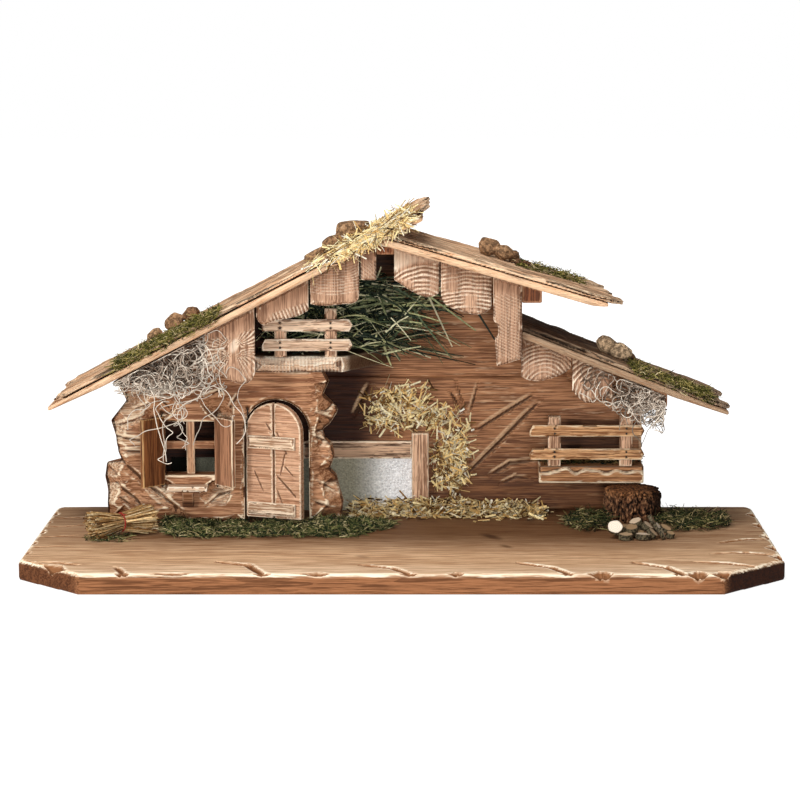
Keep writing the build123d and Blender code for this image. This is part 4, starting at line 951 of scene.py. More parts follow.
def trimGouges(number, flat):
    # strength and phase of the gouges in the face of a trim
    x, z = flat.T
    spread = np.c_[flat, z]
    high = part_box(f"gable_trim_{number}")[1]
    patchy = smooth(-0.55, 0.1, cloud(spread, 0.016, number + 5))
    waver = 0.0010 * cloud(spread, 0.010, number)
    if number == 1:
        away = flat - np.array(trimFan)
        radius = np.hypot(*away.T)
        under = smooth(0.001, -0.002, z - fanLook["top"] - (x - trimFan[0]) * fanLook["slope"])
        angle = np.arctan2(away[:, 1], away[:, 0])
        side = smooth(0.20, 0.55, np.abs(np.cos(angle))) * (0.35 + 0.65 * patchy)
        band = smooth(fanLook["inner"], 0.007, radius) * smooth(fanLook["outer"], 0.028, radius)
        return band * under * side, angle * fanLook["rays"] + 0.30 * cloud(spread, 0.009, 2)
    if number == 2:
        edge = z - (slantLook["top"] + (x - slantLook["from"]) * slantLook["slope"])
        band = smooth(0.012, 0.009, edge) * smooth(-0.130, -0.120, x)
        return band, (x + slantLook["lean"] * z + waver) / slantLook["pitch"]
    if number in trimLines:
        across, up, pitch = trimLines[number]
        band = patchy ** 2 * smooth(high.z - 0.012, high.z - 0.022, z) * 0.5
        return band, (x * across + z * up + waver) / pitch
    middle, first, last, pitch = trimRings[number]
    radius = np.hypot(*(flat - np.array(middle)).T)
    band = smooth(first, first + 0.004, radius) * smooth(last, last - 0.003, radius)
    return band * (0.45 if number == 3 else patchy), (radius + waver) / pitch


def trimSurface(number):
    low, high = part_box(f"gable_trim_{number}")

    def gouged(flat, inset, spot):
        lower = smooth(0.5, 0.3, (spot[:, 1] - low.z) / (high.z - low.z))
        cut = 0.0004 * (1 + np.sin(flat[:, 0] * fullTurn / rimPitch)) * smooth(0.007, 0.001, inset) * lower
        band, phase = trimGouges(number, flat)
        return cut + band * 0.0006 * (1 - np.sin(phase * fullTurn))
    return gouged


for number in range(1, 10):
    trim = f"gable_trim_{number}"
    under = lowerUnder if number > 7 else roofUnder
    board = carve(trim, f"carvedTrim{number}", frontView, dict(trimLook, seed=number), trimSurface(number))
    points = readPoints(board)
    band, phase = trimGouges(number, points[:, (0, 2)])
    band = band * smooth(0.006, 0.003, points[:, 1] - points[:, 1].min())
    crest = band * smooth(0.25, 0.95, np.sin(phase * fullTurn))
    if number == 1:   # bare patch in the middle of the fan
        x, z = points[:, 0] - trimFan[0], points[:, 2] - trimFan[1]
        crest = np.maximum(crest, 0.7 * smooth(0.009, 0.004, np.hypot((x - 0.35 * z) * 1.6, z - 0.003)))
    if number == 5:   # bare field round the rings
        (x, z), _, last, _ = trimRings[number]
        away = np.hypot(points[:, 0] - x, points[:, 2] - z)
        crest = np.maximum(crest, 0.65 * smooth(last - 0.001, last + 0.004, away))
    writeLayer(board, "crest", crest)
    raiseLayer(board, "hollow", band * 0.7 * smooth(0.3, 0.95, -np.sin(phase * fullTurn)))
    shade = smooth(0.022, 0.004, under(points[:, 0]) - points[:, 2])
    writeLayer(board, "shade", np.maximum(shade, 0.4 if number == 7 else 0))
    dress(board, "stable", woods["trimWood"], "trim_wood", trim)
print("trims carved")

# roofs: split planks on boards

plankLook = {
    "voxel": 0.0013, "reach": 0.007, "depth": 0.0045, "bevel": 0.6, "cell": 0.012, "rough": 0.0003,
    "least": 0.05}
boardLook = {"voxel": 0.0022, "reach": 0.004, "depth": 0.003, "bevel": 0.3, "cell": 0.02, "rough": 0.0003}
jointLook = {"height": 0.0021, "recess": 0.0065}


def splitSurface(seed):
    def split(flat, inset, spot):
        where = np.c_[flat, np.zeros(len(flat))]
        ridges = np.abs(cloud(where, (0.09, 0.0040, 1), seed))
        deep = smooth(0.35, 0.85, cloud(where, (0.13, 0.006, 1), seed + 3))
        return 0.0013 * ridges + 0.0030 * deep + 0.0007 * (1 + cloud(where, (0.05, 0.02, 1), seed + 6))
    return split


for slopeName, seed in (("left", 21), ("upper", 41), ("lower", 61)):
    view = slopeView(pitches[slopeName])
    node = f"{slopeName}_roof_planks"
    planks = carve(node, slopeName + "SplitPlanks", view, dict(plankLook, seed=seed), splitSurface(seed))
    points = readPoints(planks)
    front = points[:, 1].min()
    height = points @ view[2]
    height = height - height.min()
    near = smooth(0.009, 0.002, points[:, 1] - front)
    along = np.c_[points @ view[0], height, height]
    ragged = 0.0022 * np.clip(cloud(along, (0.05, 0.0016, 1), seed + 1), 0, 1)
    ragged = ragged + 0.0016 * (1 + cloud(along, (0.022, 0.02, 1), seed + 2))
    level = height + 0.0007 * cloud(along, (0.035, 1, 1), seed + 5)
    gaps = smooth(jointLook["height"], jointLook["height"] * 0.5, height)
    for layer, gape in ((0.0042, 1.0), (0.0062, 0.7)):   # open layers in the split edge
        slit = gape * smooth(0.0010, 0.0003, np.abs(level - layer))
        slit = slit * smooth(-0.4, 0.1, cloud(along, (0.04, 1, 1), seed + 7))
        ragged = ragged + 0.003 * slit
        gaps = np.maximum(gaps, slit * 0.9)
    recess = jointLook["recess"] * smooth(jointLook["height"], jointLook["height"] * 0.4, height)
    points[:, 1] += near * (ragged + recess)
    writePoints(planks, points)
    markEdges(planks, plankLook["voxel"])
    raiseLayer(planks, "hollow", near * gaps)
    if slopeName == "lower":   # in the shadow of the upper roof
        writeLayer(planks, "shade", 0.85 * smooth(0.215, 0.130, points[:, 0]))
    dress(planks, "stable", woods[slopeName + "Planks"], "roof_wood", node)
    node = f"{slopeName}_roof_board"
    board = carve(node, slopeName + "RoofBoard", frontView, dict(boardLook, seed=seed + 1))
    dress(board, "stable", woods[slopeName + "Boards"], "roof_wood", node)
print("roofs carved")

for purlin in ("ridge_purlin", "upper_purlin", "lower_purlin"):
    board = carve(purlin, "carved_" + purlin, frontView, dict(barLook, voxel=0.0012))
    dress(board, "stable", woods["shadedPurlinWood"], "purlin_wood", purlin)

# plaster, plain inner walls and wire

plasterLook = {"colour": (0.99, 0.98, 0.98), "grey": (0.72, 0.72, 0.73), "shade": (0.32, 0.30, 0.22)}
f = Finish("stippledPlaster")
stipple = f.speckle(620, 3.0, 0.7)
pores = f.node("ShaderNodeTexVoronoi", {}, {"Vector": f.place((0, 0, 0), (400, 400, 400)), "Scale": 1.0})
coat = f.blend(f.ramp(stipple * 0.7 + pores * 0.5, 0.3, 0.75), plasterLook["grey"], plasterLook["colour"])
sideways = f.axis(0)
# painted shade: darker to the left into the shade of the house, and near black behind the lower left window
# pane
coat = f.blend(f.ramp(sideways, -0.005, -0.055), coat, plasterLook["shade"], "MULTIPLY")
coat = f.blend(f.ramp(sideways, -0.06, -0.10), coat, (0.45, 0.48, 0.48), "MULTIPLY")
coat = f.blend(f.ramp(sideways, -0.202, -0.212), coat, (0.04, 0.04, 0.04), "MULTIPLY")
# painted light: the plaster glows faintly in its own colour, to stand brighter in the shaded bay
plasterFinish = f.finish(
    Base_Color=coat, Roughness=0.9, Normal=f.bump(stipple + pores, 1.0, 0.0040), Specular_IOR_Level=0.1,
    Emission_Color=coat, Emission_Strength=0.27)
paint(nodes["plaster_panel"], plasterFinish)
paint(nodes["house_side_wall"], woods["wallWood"])
f = Finish("darkWire")
wireFinish = f.finish(
    Base_Color=f.blend(f.speckle(900), (0.02, 0.016, 0.013), (0.09, 0.07, 0.055)),
    Roughness=0.45 + f.speckle(700) * 0.3, Metallic=0.8)
for wire in ("door_pivot_pins", "shutter_pintles", "rail_nails"):
    paint(nodes[wire], wireFinish)


# loose strands: one stalk is modelled and copied many times

def modelStalk(sides, levels):
    bpy.ops.object.select_all(action="DESELECT")
    bpy.ops.mesh.primitive_cylinder_add(vertices=sides, radius=1, depth=1, location=(0, 0, 0.5))
    stalk = bpy.context.object
    bpy.ops.object.transform_apply(location=True)
    bpy.ops.object.mode_set(mode="EDIT")
    for level in levels:
        bpy.ops.mesh.select_all(action="SELECT")
        bpy.ops.mesh.bisect(plane_co=(0, 0, level), plane_no=(0, 0, 1))
    bpy.ops.object.mode_set(mode="OBJECT")
    points = readPoints(stalk)
    faces = [tuple(face.vertices) for face in stalk.data.polygons]
    bpy.data.objects.remove(stalk)
    return points, faces


def unit(vectors):
    return vectors / np.maximum(np.linalg.norm(vectors, axis=1, keepdims=True), 1e-9)


def strew(name, stalk, starts, ways, lengths, widths, sags, thin=0.35, taper=0.0):
    # copies of the stalk laid along their ways, bent by their sags
    shape, faces = stalk
    count = len(starts)
    ways = unit(ways)
    side = unit(np.cross(ways, unit(dice.normal(size=(count, 3)))))
    other = np.cross(ways, side)
    along = shape[:, 2][None, :, None]
    narrow = 1 - taper * along
    points = (
        starts[:, None] + ways[:, None] * lengths[:, None, None] * along + sags[:, None] * along ** 2
        + side[:, None] * shape[:, 0][None, :, None] * widths[:, None, None] * narrow
        + other[:, None] * shape[:, 1][None, :, None] * widths[:, None, None] * thin * narrow)
    size = len(shape)
    allFaces = [tuple(v + size * copy for v in face) for copy in range(count) for face in faces]
    mesh = bpy.data.meshes.new(name)
    mesh.from_pydata(points.reshape(-1, 3).tolist(), [], allFaces)
    mesh.update()
    piece = bpy.data.objects.new(name, mesh)
    bpy.context.scene.collection.objects.link(piece)
    return piece


def spreadIn(low, high, count):
    return dice.uniform(np.array(low), np.array(high), (count, 3))


def scatter(count, across, inward, upward, rising=False):
    # random ways, each axis with its mean and spread
    ways = np.stack([dice.normal(*spread, count) for spread in (across, inward, upward)], axis=1)
    if rising:
        ways[:, 2] = np.abs(ways[:, 2])
    return ways


def joinRows(rows):
    return (np.concatenate(group) for group in zip(*rows))


def stalkChance(piece, stalk, seed):
    # one number from 0 to 1 for each copied stalk
    return scramble(np.arange(len(piece.data.vertices)) // len(stalk[0]), seed, 1, 2)


strawStalk = modelStalk(4, ())
bladeStalk = modelStalk(3, (0.35, 0.7))
curlStalk = modelStalk(3, (0.5,))


def curlTufts(name, starts, ways, lengths, widths, curls):
    # bent sprigs in two halves that curl over
    swing = unit(dice.normal(size=(len(starts), 3))) * (lengths * curls)[:, None]
    swing[:, 2] = -np.abs(swing[:, 2]) * 0.6
    return strew(name, curlStalk, starts, ways, lengths, widths, swing, 0.6, 0.55)


# hay in the loft

hayLook = {
    "bed": 1100, "spray": 170, "width": 0.0019, "top": 0.256,
    "left": -0.143, "front": 0.058, "back": 0.131,   # how far the blades may reach
}
starts = spreadIn((-0.142, 0.070, loftTop), (-0.01, 0.126, loftTop + 0.078), hayLook["bed"])
starts[:, 2] = np.minimum(starts[:, 2], np.minimum(roofUnder(starts[:, 0]) - 0.012, hayLook["top"]))
ways = scatter(hayLook["bed"], (0.25, 0.9), (-0.1, 0.4), (0.03, 0.42))
sprayStarts = spreadIn((-0.070, 0.070, loftTop + 0.004), (0.010, 0.120, loftTop + 0.075), hayLook["spray"])
sprayWays = np.c_[
    dice.uniform(0.5, 1, hayLook["spray"]), dice.normal(-0.1, 0.25, hayLook["spray"]),
    dice.normal(0.0, 0.42, hayLook["spray"])]
starts = np.r_[starts, sprayStarts]
ways = unit(np.r_[ways, sprayWays])
lengths = np.r_[dice.uniform(0.018, 0.06, hayLook["bed"]), dice.uniform(0.025, 0.075, hayLook["spray"])]
ends = starts + ways * lengths[:, None]
ways[:, 2] = np.where(ends[:, 2] > roofUnder(ends[:, 0]) - 0.006, -np.abs(ways[:, 2]), ways[:, 2])
tooFar = (ends[:, 1] > hayLook["back"]) | (ends[:, 1] < hayLook["front"])
ways[:, 1] = np.where(tooFar, -ways[:, 1] * 0.3, ways[:, 1])
ends = starts + ways * lengths[:, None]
fits = (ends[:, 2] > loftTop - 0.012) & (ends[:, 2] < roofUnder(ends[:, 0]) - 0.005)
fits &= ends[:, 0] > hayLook["left"]
fits &= (ends[:, 2] > loftTop + 0.004) | (ends[:, 0] > -0.02)
fits &= (ends[:, 1] > 0.067) | ((starts[:, 0] > -0.06) & (ends[:, 0] > -0.06))
fits &= ends[:, 2] < hayLook["top"] + 0.008
starts, ways, lengths = starts[fits], ways[fits], lengths[fits]
sags = scatter(len(starts), (0, 0.004), (0, 0.002), (0, 0.005), True) * (1, 1, -1)
sags[:, 2] = np.where(starts[:, 2] + ways[:, 2] * lengths + sags[:, 2] < loftTop + 0.001, 0, sags[:, 2])
widths = dice.uniform(0.0004, hayLook["width"], len(starts))
longBlades = (   # under the right trims
    ((0.004, 0.058, 0.258), (0.0686, 0.050, 0.2115)),
    ((0.050, 0.058, 0.262), (0.087, 0.048, 0.203)),
    ((0.020, 0.060, 0.252), (0.046, 0.050, 0.196)),
)
for first, last in longBlades:
    way = np.array(last) - np.array(first)
    starts, ways, lengths = np.r_[starts, [first]], np.r_[ways, [way]], np.r_[lengths, np.linalg.norm(way)]
    sags, widths = np.r_[sags, [(0.001, 0, -0.001)]], np.r_[widths, hayLook["width"]]
hay = strew("loftHay", bladeStalk, starts, ways, lengths, widths, sags, 0.3, 0.5)
dress(hay, "stable", hayFinish, "hay", "loft_hay")
print("hay laid")


# moss on the ground, the balcony and the roofs

def bed(low, high, count, rise, shape=None):
    # low curls at random heights, thinned out between lumps
    starts = spreadIn((*low, deck), (*high, deck), count)
    if shape is not None:
        starts = starts[shape(starts)]
    tuft = cloud(starts, (0.008, 0.008, 1), 11)
    starts, tuft = starts[tuft > -0.5], tuft[tuft > -0.5]
    count = len(starts)
    starts[:, 2] += dice.uniform(0, 1, count) ** 1.5 * rise + 0.0025 * smooth(-0.4, 0.5, tuft)
    ways = scatter(count, (0, 1), (-0.15, 1), (0.35, 0.45), True)
    return starts, ways, dice.uniform(0.35, 1.0, count) * 0.0095


def houseBed(starts):
    x, y = starts[:, 0], starts[:, 1]
    edge = -0.002 + 0.010 * cloud(np.c_[x, x, x], 0.016, 5)
    edge = edge + 0.045 * smooth(-0.055, -0.010, x) + 0.03 * smooth(-0.21, -0.232, x)
    return y > edge


def roundBed(x, y, wide, deep):
    def inside(starts):
        far = np.hypot((starts[:, 0] - x) / wide, (starts[:, 1] - y) / deep)
        return far < 0.95 + 0.25 * cloud(starts, 0.014, 6)
    return inside


def layMoss(name, rows, finish, node):
    starts, ways, lengths = joinRows(rows)
    widths = dice.uniform(0.0003, 0.0008, len(starts))
    curls = dice.uniform(0.3, 0.9, len(starts))
    moss = curlTufts(name, starts, ways, lengths, widths, curls)
    points = readPoints(moss)
    writeLayer(moss, "shade", 0.5 * smooth(0.14, 0.16, points[:, 0]) * smooth(0.06, 0.05, points[:, 2]))
    dress(moss, "stable", finish, "moss", node)
    return moss


mossRows = [
    bed((-0.232, -0.012), (-0.010, 0.069), 6800, 0.0012, houseBed),
    bed((-0.232, 0.002), (-0.178, 0.068), 2000, 0.0055, houseBed),
    bed((-0.086, 0.004), (-0.030, 0.068), 2000, 0.0055, houseBed),
    bed((-0.302, -0.026), (-0.250, 0.020), 420, 0.002, roundBed(-0.276, -0.004, 0.026, 0.020)),
    bed((0.154, 0.026), (0.200, 0.096), 1500, 0.0075, roundBed(0.180, 0.062, 0.024, 0.036)),
    bed((0.244, 0.022), (0.326, 0.100), 2600, 0.0075, roundBed(0.276, 0.062, 0.046, 0.038)),
]
moss = layMoss("groundMoss", mossRows, mossFinish, "ground_moss")
doorPath = {"reach": 0.062, "gap": 0.0006}   # within reach of the door the moss stays under its foot
points = readPoints(moss)
far = np.hypot(points[:, 0] - doorHinge[0], points[:, 1] - doorHinge[1])
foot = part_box("door_plank_right")[0].z - doorPath["gap"]
points[:, 2] = np.where(far < doorPath["reach"], np.minimum(points[:, 2], foot), points[:, 2])
writePoints(moss, points)
print("moss under the door's path:", round((foot - deck) * 1000, 2), "mm high at most")
shelfTufts = 1100
starts = spreadIn((0.136, 0.112, shelfTop), (0.234, 0.130, shelfTop + 0.012), shelfTufts)
ways = scatter(shelfTufts, (0, 1), (-0.2, 0.4), (0.3, 0.4), True)
lengths = dice.uniform(0.003, 0.008, shelfTufts)
moss = layMoss("balconyMoss", [(starts, ways, lengths)], mossFinish, "balcony_moss")
writeLayer(moss, "shade", np.ones(len(moss.data.vertices)))   # in the dark behind the rails

roofTop = 0.013  # boards and planks together


def onSlope(slopeName, x, y, lift):
    start = Vector((lowerStart[0], 0, lowerStart[1])) if slopeName == "lower" else ridge
    lean = math.radians(pitches[slopeName])
    z = start.z + (x - start.x) * math.tan(lean) + (roofTop + lift) / math.cos(lean)
    return np.c_[x, y, z]


roofRows = []
for slopeName, low, high, count in (
    ("left", (-0.274, 0.009), (-0.174, 0.052), 2500), ("upper", (0.112, 0.070), (0.178, 0.116), 1000),
    ("lower", (0.218, 0.028), (0.296, 0.070), 2000),
):
    x = dice.uniform(low[0], high[0], count)
    y = dice.uniform(low[1], high[1], count)
    lumps = cloud(np.c_[x, y, x], (0.020, 0.012, 0.020), 8) > -0.25
    x, y = x[lumps], y[lumps]
    edge = low[1] + 0.009
    lift = -0.002 + 0.006 * dice.uniform(0, 1, len(x)) ** 1.6
    starts = onSlope(slopeName, x, np.maximum(y, edge - 0.0015), lift)
    # tufts that hang over the edge
    starts[:, 2] -= np.clip(edge - y, 0, None) * 0.9 * dice.uniform(0.3, 1.3, len(x))
    ways = scatter(len(x), (0, 1), (-0.2, 1), (0.35, 0.5), True)
    ways[:, 2] += ways[:, 0] * math.tan(math.radians(pitches[slopeName]))
    roofRows.append((starts, ways, dice.uniform(0.4, 1.0, len(x)) * 0.008))
layMoss("roofMoss", roofRows, roofMossFinish, "roof_moss")
print("moss laid")

# straw on the wall, the floor and the ridge

strawLook = {
    "wall": 5200, "floor": 2300, "ridge": 1700,
    "floorBack": 0.119, "ridgeFront": 0.0175, "hangFront": 0.0172,   # depths where the straw lies
}


def wallStraw(count):
    # an arch beside the plaster: a left cluster, a right stem and what joins them
    x = dice.uniform(-0.056, 0.082, count)
    z = dice.uniform(0.030, 0.150, count)
    left = np.hypot(x / 0.043, (z - 0.120) / 0.025)
    right = np.where(x > 0.027, np.hypot((x - 0.047) / 0.023, (z - 0.075) / 0.050), 9)
    joined = np.hypot((x - 0.034) / 0.016, (z - 0.112) / 0.016)
    limit = 0.75 + 0.35 * cloud(np.c_[x, z, z], 0.013, 3) + 0.25 * dice.uniform(-1, 1, len(x))
    keep = np.minimum(np.minimum(left, right), joined) < limit
    keep &= (x > 0.026) | (z > 0.100)
    x, z = x[keep], z[keep]
    starts = np.c_[x, np.full(len(x), wallFace) - dice.uniform(0.0002, 1, len(x)) ** 2 * 0.006, z]
    ways = scatter(len(x), (0, 1), (0, 0.25), (0, 1))
    return starts, ways, dice.uniform(0.003, 0.014, len(x))


def floorStraw(count):
    # a long heap at the foot of the wall
    x = dice.uniform(-0.052, 0.140, count)
    y = strawLook["floorBack"] - np.abs(dice.normal(0, 0.013, count))
    heap = 0.012 + 0.004 * cloud(np.c_[x, x, x], 0.02, 2)
    heap = heap * np.exp(-((y - strawLook["floorBack"]) / 0.012) ** 2) * smooth(0.146, 0.120, x)
    starts = np.c_[x, y, deck + dice.uniform(0.0006, 1, count) * (heap + 0.0015)]
    ways = scatter(count, (0, 1), (0, 0.7), (0, 0.35), True)
    return starts, ways, dice.uniform(0.003, 0.012, count)


def ridgeStraw(count):
    # on the ridge, some of it hanging before the front edge
    x = -0.020 + dice.normal(0, 0.022, count)
    x = np.clip(x - 0.010, -0.085, 0.005)
    y = strawLook["ridgeFront"] + np.abs(dice.normal(0, 0.030, count))
    hangs = dice.uniform(0, 1, count) < 0.4
    y = np.where(hangs, strawLook["hangFront"], y)
    starts = onSlope("left", x, y, 0)
    starts[:, 2] += np.where(hangs, dice.uniform(-0.010, 0.002, count), dice.uniform(0, 0.003, count))
    ways = np.c_[
        dice.normal(0, 1, count), np.where(hangs, 0.05, 1) * dice.normal(0, 0.8, count),
        dice.normal(0, 0.3, count)]
    ways[:, 2] += ways[:, 0] * math.tan(math.radians(pitches["left"])) - 0.3 * hangs
    return starts, ways, dice.uniform(0.006, 0.016, count)


rows = [wallStraw(strawLook["wall"]), floorStraw(strawLook["floor"]), ridgeStraw(strawLook["ridge"])]
starts, ways, lengths = joinRows(rows)
onRidge = np.arange(len(starts)) >= len(starts) - strawLook["ridge"]
widths = dice.uniform(0.0003, 0.0012, len(starts)) * np.where(onRidge, 0.65, 1)
straw = strew("strawLitter", strawStalk, starts, ways, lengths, widths, np.zeros((len(starts), 3)), 0.3)
points = readPoints(straw)
points[:, 2] = np.minimum(points[:, 2], cadBox[1][2])
writePoints(straw, points)
shade = smooth(0.050, 0.026, points[:, 2]) * stalkChance(straw, strawStalk, 3) * 1.1
writeLayer(straw, "shade", shade)
dress(straw, "stable", strawFinish, "straw", "straw_litter")


def strands(name, paths, thickness):
    curve = bpy.data.curves.new(name, "CURVE")
    curve.dimensions = "3D"
    curve.bevel_depth = thickness
    curve.bevel_resolution = 0
    curve.resolution_u = 3
    curve.use_fill_caps = True
    for path in paths:
        spline = curve.splines.new("NURBS")
        spline.points.add(len(path) - 1)
        for point, place in zip(spline.points, path):
            point.co = (*place, 1)
        spline.order_u = 3
        spline.use_endpoint_u = True
    piece = bpy.data.objects.new(name, curve)
    bpy.context.scene.collection.objects.link(piece)
    only(piece)
    bpy.ops.object.convert(target="MESH")
    return bpy.context.object


# sheaf with its tie

sheafLook = {"straws": 620, "length": 0.067, "end": 0.0132, "waist": 0.0080, "turn": 35}
turn = math.radians(sheafLook["turn"])
axis = np.array((math.cos(turn), math.sin(turn), 0))
sideways = np.array((-math.sin(turn), math.cos(turn), 0))
middle = np.array((-0.268, 0.008, deck + 0.0135))
count = sheafLook["straws"]
radius = np.sqrt(dice.uniform(0, 1, count))
angle = dice.uniform(0, fullTurn, count)
ring = np.c_[np.cos(angle), np.sin(angle)] * radius[:, None]
upright = np.array((0, 0, 1))
waist = sheafLook["waist"]
waists = middle + ring[:, :1] * sideways * waist + ring[:, 1:] * upright * waist
rows = []
for end in (-1, 1):
    spread = ring + dice.normal(0, 0.17, (count, 2))
    spread[:, 1] = np.clip(spread[:, 1], -1.0, 0.95)
    tips = middle + axis * end * sheafLook["length"] / 2 * dice.uniform(0.72, 1.02, (count, 1))
    tips = tips + spread[:, :1] * sideways * sheafLook["end"] + spread[:, 1:] * upright * sheafLook["end"]
    rows.append((waists, tips - waists, np.linalg.norm(tips - waists, axis=1)))
starts, ways, lengths = joinRows(rows)
count = len(starts)
widths = dice.uniform(0.0003, 0.0009, count)
sheaf = strew("strawSheaf", strawStalk, starts, ways, lengths, widths, np.zeros((count, 3)), 0.6)
writeLayer(sheaf, "shade", stalkChance(sheaf, strawStalk, 5) * 0.9)
dress(sheaf, "stable", sheafFinish, "straw", "straw_sheaf")

tieLook = {"radius": 0.0086, "cord": 0.00045, "twists": 22, "points": 220, "thickness": 0.0004}
around = np.linspace(0, fullTurn, tieLook["points"])
wound = []
for start in (0, 3.1416):   # two threads twisted round each other
    wind = around * tieLook["twists"] + start
    reach = tieLook["radius"] + tieLook["cord"] * np.cos(wind)
    thread = middle + np.outer(reach * np.cos(around), sideways) + np.outer(reach * np.sin(around), upright)
    wound.append(thread + np.outer(tieLook["cord"] * np.sin(wind), axis))
knot = middle - sideways * tieLook["radius"] * 0.5 + np.array((0, 0, tieLook["radius"] * 0.9))
for lean in (-1, 1):   # loose ends of the knot
    bow = knot + axis * lean * 0.0012 + np.array((0, 0, 0.0008))
    tip = knot + axis * lean * 0.0030 - sideways * 0.0012 - np.array((0, 0, 0.0004))
    wound.append([knot, bow, tip])
tie = strands("redTie", wound, tieLook["thickness"])
f = Finish("redThread")
twist = f.speckle(900, 2.0)
threadFinish = f.finish(
    Base_Color=f.blend(twist, (0.20, 0.012, 0.008), (0.55, 0.05, 0.03)), Roughness=0.8,
    Normal=f.bump(twist, 0.5, 0.0004))
dress(tie, "stable", threadFinish, "thread", "sheaf_tie")
print("straw laid and sheaf tied")


# lichen strands under the eaves

def curl(start, steps, step, fall, bounds, sides, floor=None):
    # a strand that wanders and falls within its bounds in depth, its sides and its floor
    place = np.array(start, float)
    way = dice.normal(size=3)
    bend = dice.normal(size=3) * (0.3, 1.0, 0.3)
    path = [place.copy()]
    for _ in range(steps):
        bend = bend * 0.75 + dice.normal(size=3) * (0.25, 0.62, 0.25)
        way = way + np.cross(bend, way) * 0.7 + np.array((0, 0, -fall))
        way = way / np.linalg.norm(way)
        if not sides[0] < place[0] + way[0] * step < sides[1]:
            way[0] = -way[0]
        if floor and place[2] + way[2] * step < floor(place[0]):
            way[2] = abs(way[2])
        place = place + way * step
        place[1] = np.clip(place[1], *bounds)
        path.append(place.copy())
    return path


lichenLook = {
    "mass": 250, "hanging": 18, "right": 170, "loose": 7, "thickness": 0.00046,
    "front": (0.0192, 0.0232),   # depth of the strands that hang before the house
}


def underRoof(path, roofLine):
    return [np.array((p[0], p[1], min(p[2], float(roofLine(p[0])) - 0.002))) for p in path]


def leftFloor(x):
    # lower line of the mass of strands
    level = 0.157 - 0.010 * max(0, 1 - abs(x + 0.205) / 0.04) + 0.10 * max(0, -0.236 - x)
    return level + 0.005 * math.sin(x * 330) + 0.003 * math.sin(x * 870)


def rightFloor(x):
    return 0.156 - (x - 0.1667) * 0.57 + 0.004 * math.sin(x * 330) + 0.003 * math.sin(x * 870)


paths = []
for _ in range(lichenLook["mass"]):
    x = dice.uniform(-0.268, -0.184)
    drop = abs(dice.normal(0, 0.013)) * (0.5 + smooth(-0.27, -0.22, np.array(x)))
    start = (x, dice.uniform(0.023, 0.034), roofUnder(x) - 0.004 - drop)
    path = curl(start, 13, 0.0050, 0.10, (0.0205, 0.0365), (-0.276, -0.166), leftFloor)
    paths.append(underRoof(path, roofUnder))
for _ in range(lichenLook["hanging"]):
    x = dice.uniform(-0.246, -0.164)
    start = (x, dice.uniform(0.021, 0.023), 0.168 + dice.normal(0, 0.012))
    path = curl(start, 15, 0.0055, 0.24, lichenLook["front"], (-0.262, -0.146))
    paths.append(underRoof(path, roofUnder))
for x in (-0.228, -0.222, -0.216, -0.210):   # longest ones before the window
    path = curl((x, 0.022, 0.146), 19, 0.0052, 0.34, lichenLook["front"], (x - 0.010, x + 0.012))
    paths.append(underRoof(path, roofUnder))
lichen = strands("lichenLeft", paths, lichenLook["thickness"])
points = readPoints(lichen)
# painted light: strands that hang low and those before the first trim are painted paler, as if lit; strands
# further back are painted in shade
lowest, inner = smooth(0.166, 0.150, points[:, 2]), smooth(-0.196, -0.188, points[:, 0])
writeLayer(lichen, "pale", np.maximum(lowest, inner))
writeLayer(lichen, "shade", smooth(0.025, 0.034, points[:, 1]))
dress(lichen, "stable", lichenFinish, "lichen", "lichen_left")
paths = []
for _ in range(lichenLook["right"]):
    x = max(0.178, 0.252 - abs(dice.normal(0, 0.026)))
    y = dice.uniform(0.033, 0.046)
    drop = abs(dice.normal(0, 0.009))
    start = (x, y, lowerUnder(x) - 0.004 - drop - 0.004 * smooth(0.23, 0.17, np.array(x)))
    bounds = (0.0335, 0.037 if x < 0.208 else 0.056)
    path = curl(start, 11, 0.0046, 0.10, bounds, (0.168, 0.252), rightFloor)
    paths.append(underRoof(path, lowerUnder))
for _ in range(lichenLook["loose"]):
    x = dice.uniform(0.215, 0.250)
    start = (x, dice.uniform(0.037, 0.050), 0.140 + dice.normal(0, 0.006))
    path = curl(start, 8, 0.0055, 0.4, (0.034, 0.056), (0.200, 0.256))
    paths.append(underRoof(path, lowerUnder))
lichen = strands("lichenRight", paths, lichenLook["thickness"])
points = readPoints(lichen)
# painted light on the lowest strands; painted shade on those further back
writeLayer(lichen, "pale", smooth(0.145, 0.132, points[:, 2]) * 0.4)
writeLayer(lichen, "shade", smooth(0.038, 0.052, points[:, 1]))
dress(lichen, "stable", lichenFinish, "lichen", "lichen_right")
print("lichen hung")

# stump

stumpLook = {"voxel": 0.001, "middle": (0.225, 0.093), "barkRadius": 0.03, "sawnFrom": 0.029}
stump = copyNode("stump", "barkStump", stumpLook["voxel"])
points = readPoints(stump)
outward = points[:, :2] - np.array(stumpLook["middle"])
radius = np.hypot(*outward.T)
way = np.arctan2(outward[:, 1], outward[:, 0])
girth = stumpLook["barkRadius"]
wrapped = np.c_[np.cos(way) * girth, np.sin(way) * girth, points[:, 2]]
plates = np.abs(cloud(wrapped, (0.0024, 0.0024, 0.0060), 5))
cracks = np.abs(cloud(wrapped + 0.002 * cloud(wrapped, 0.006, 12)[:, None], (0.006, 0.006, 0.018), 9))
rim = smooth(0.022, 0.029, radius)
cut = rim * (
    0.0022 * smooth(0.35, 0.0, plates) + 0.0030 * smooth(0.25, 0.0, cracks)
    + 0.0012 * (1 + cloud(points, 0.0026, 2)))
points[:, :2] -= outward / np.maximum(radius, 1e-6)[:, None] * cut[:, None]
top = points[:, 2] > deck + stumpLook["sawnFrom"]
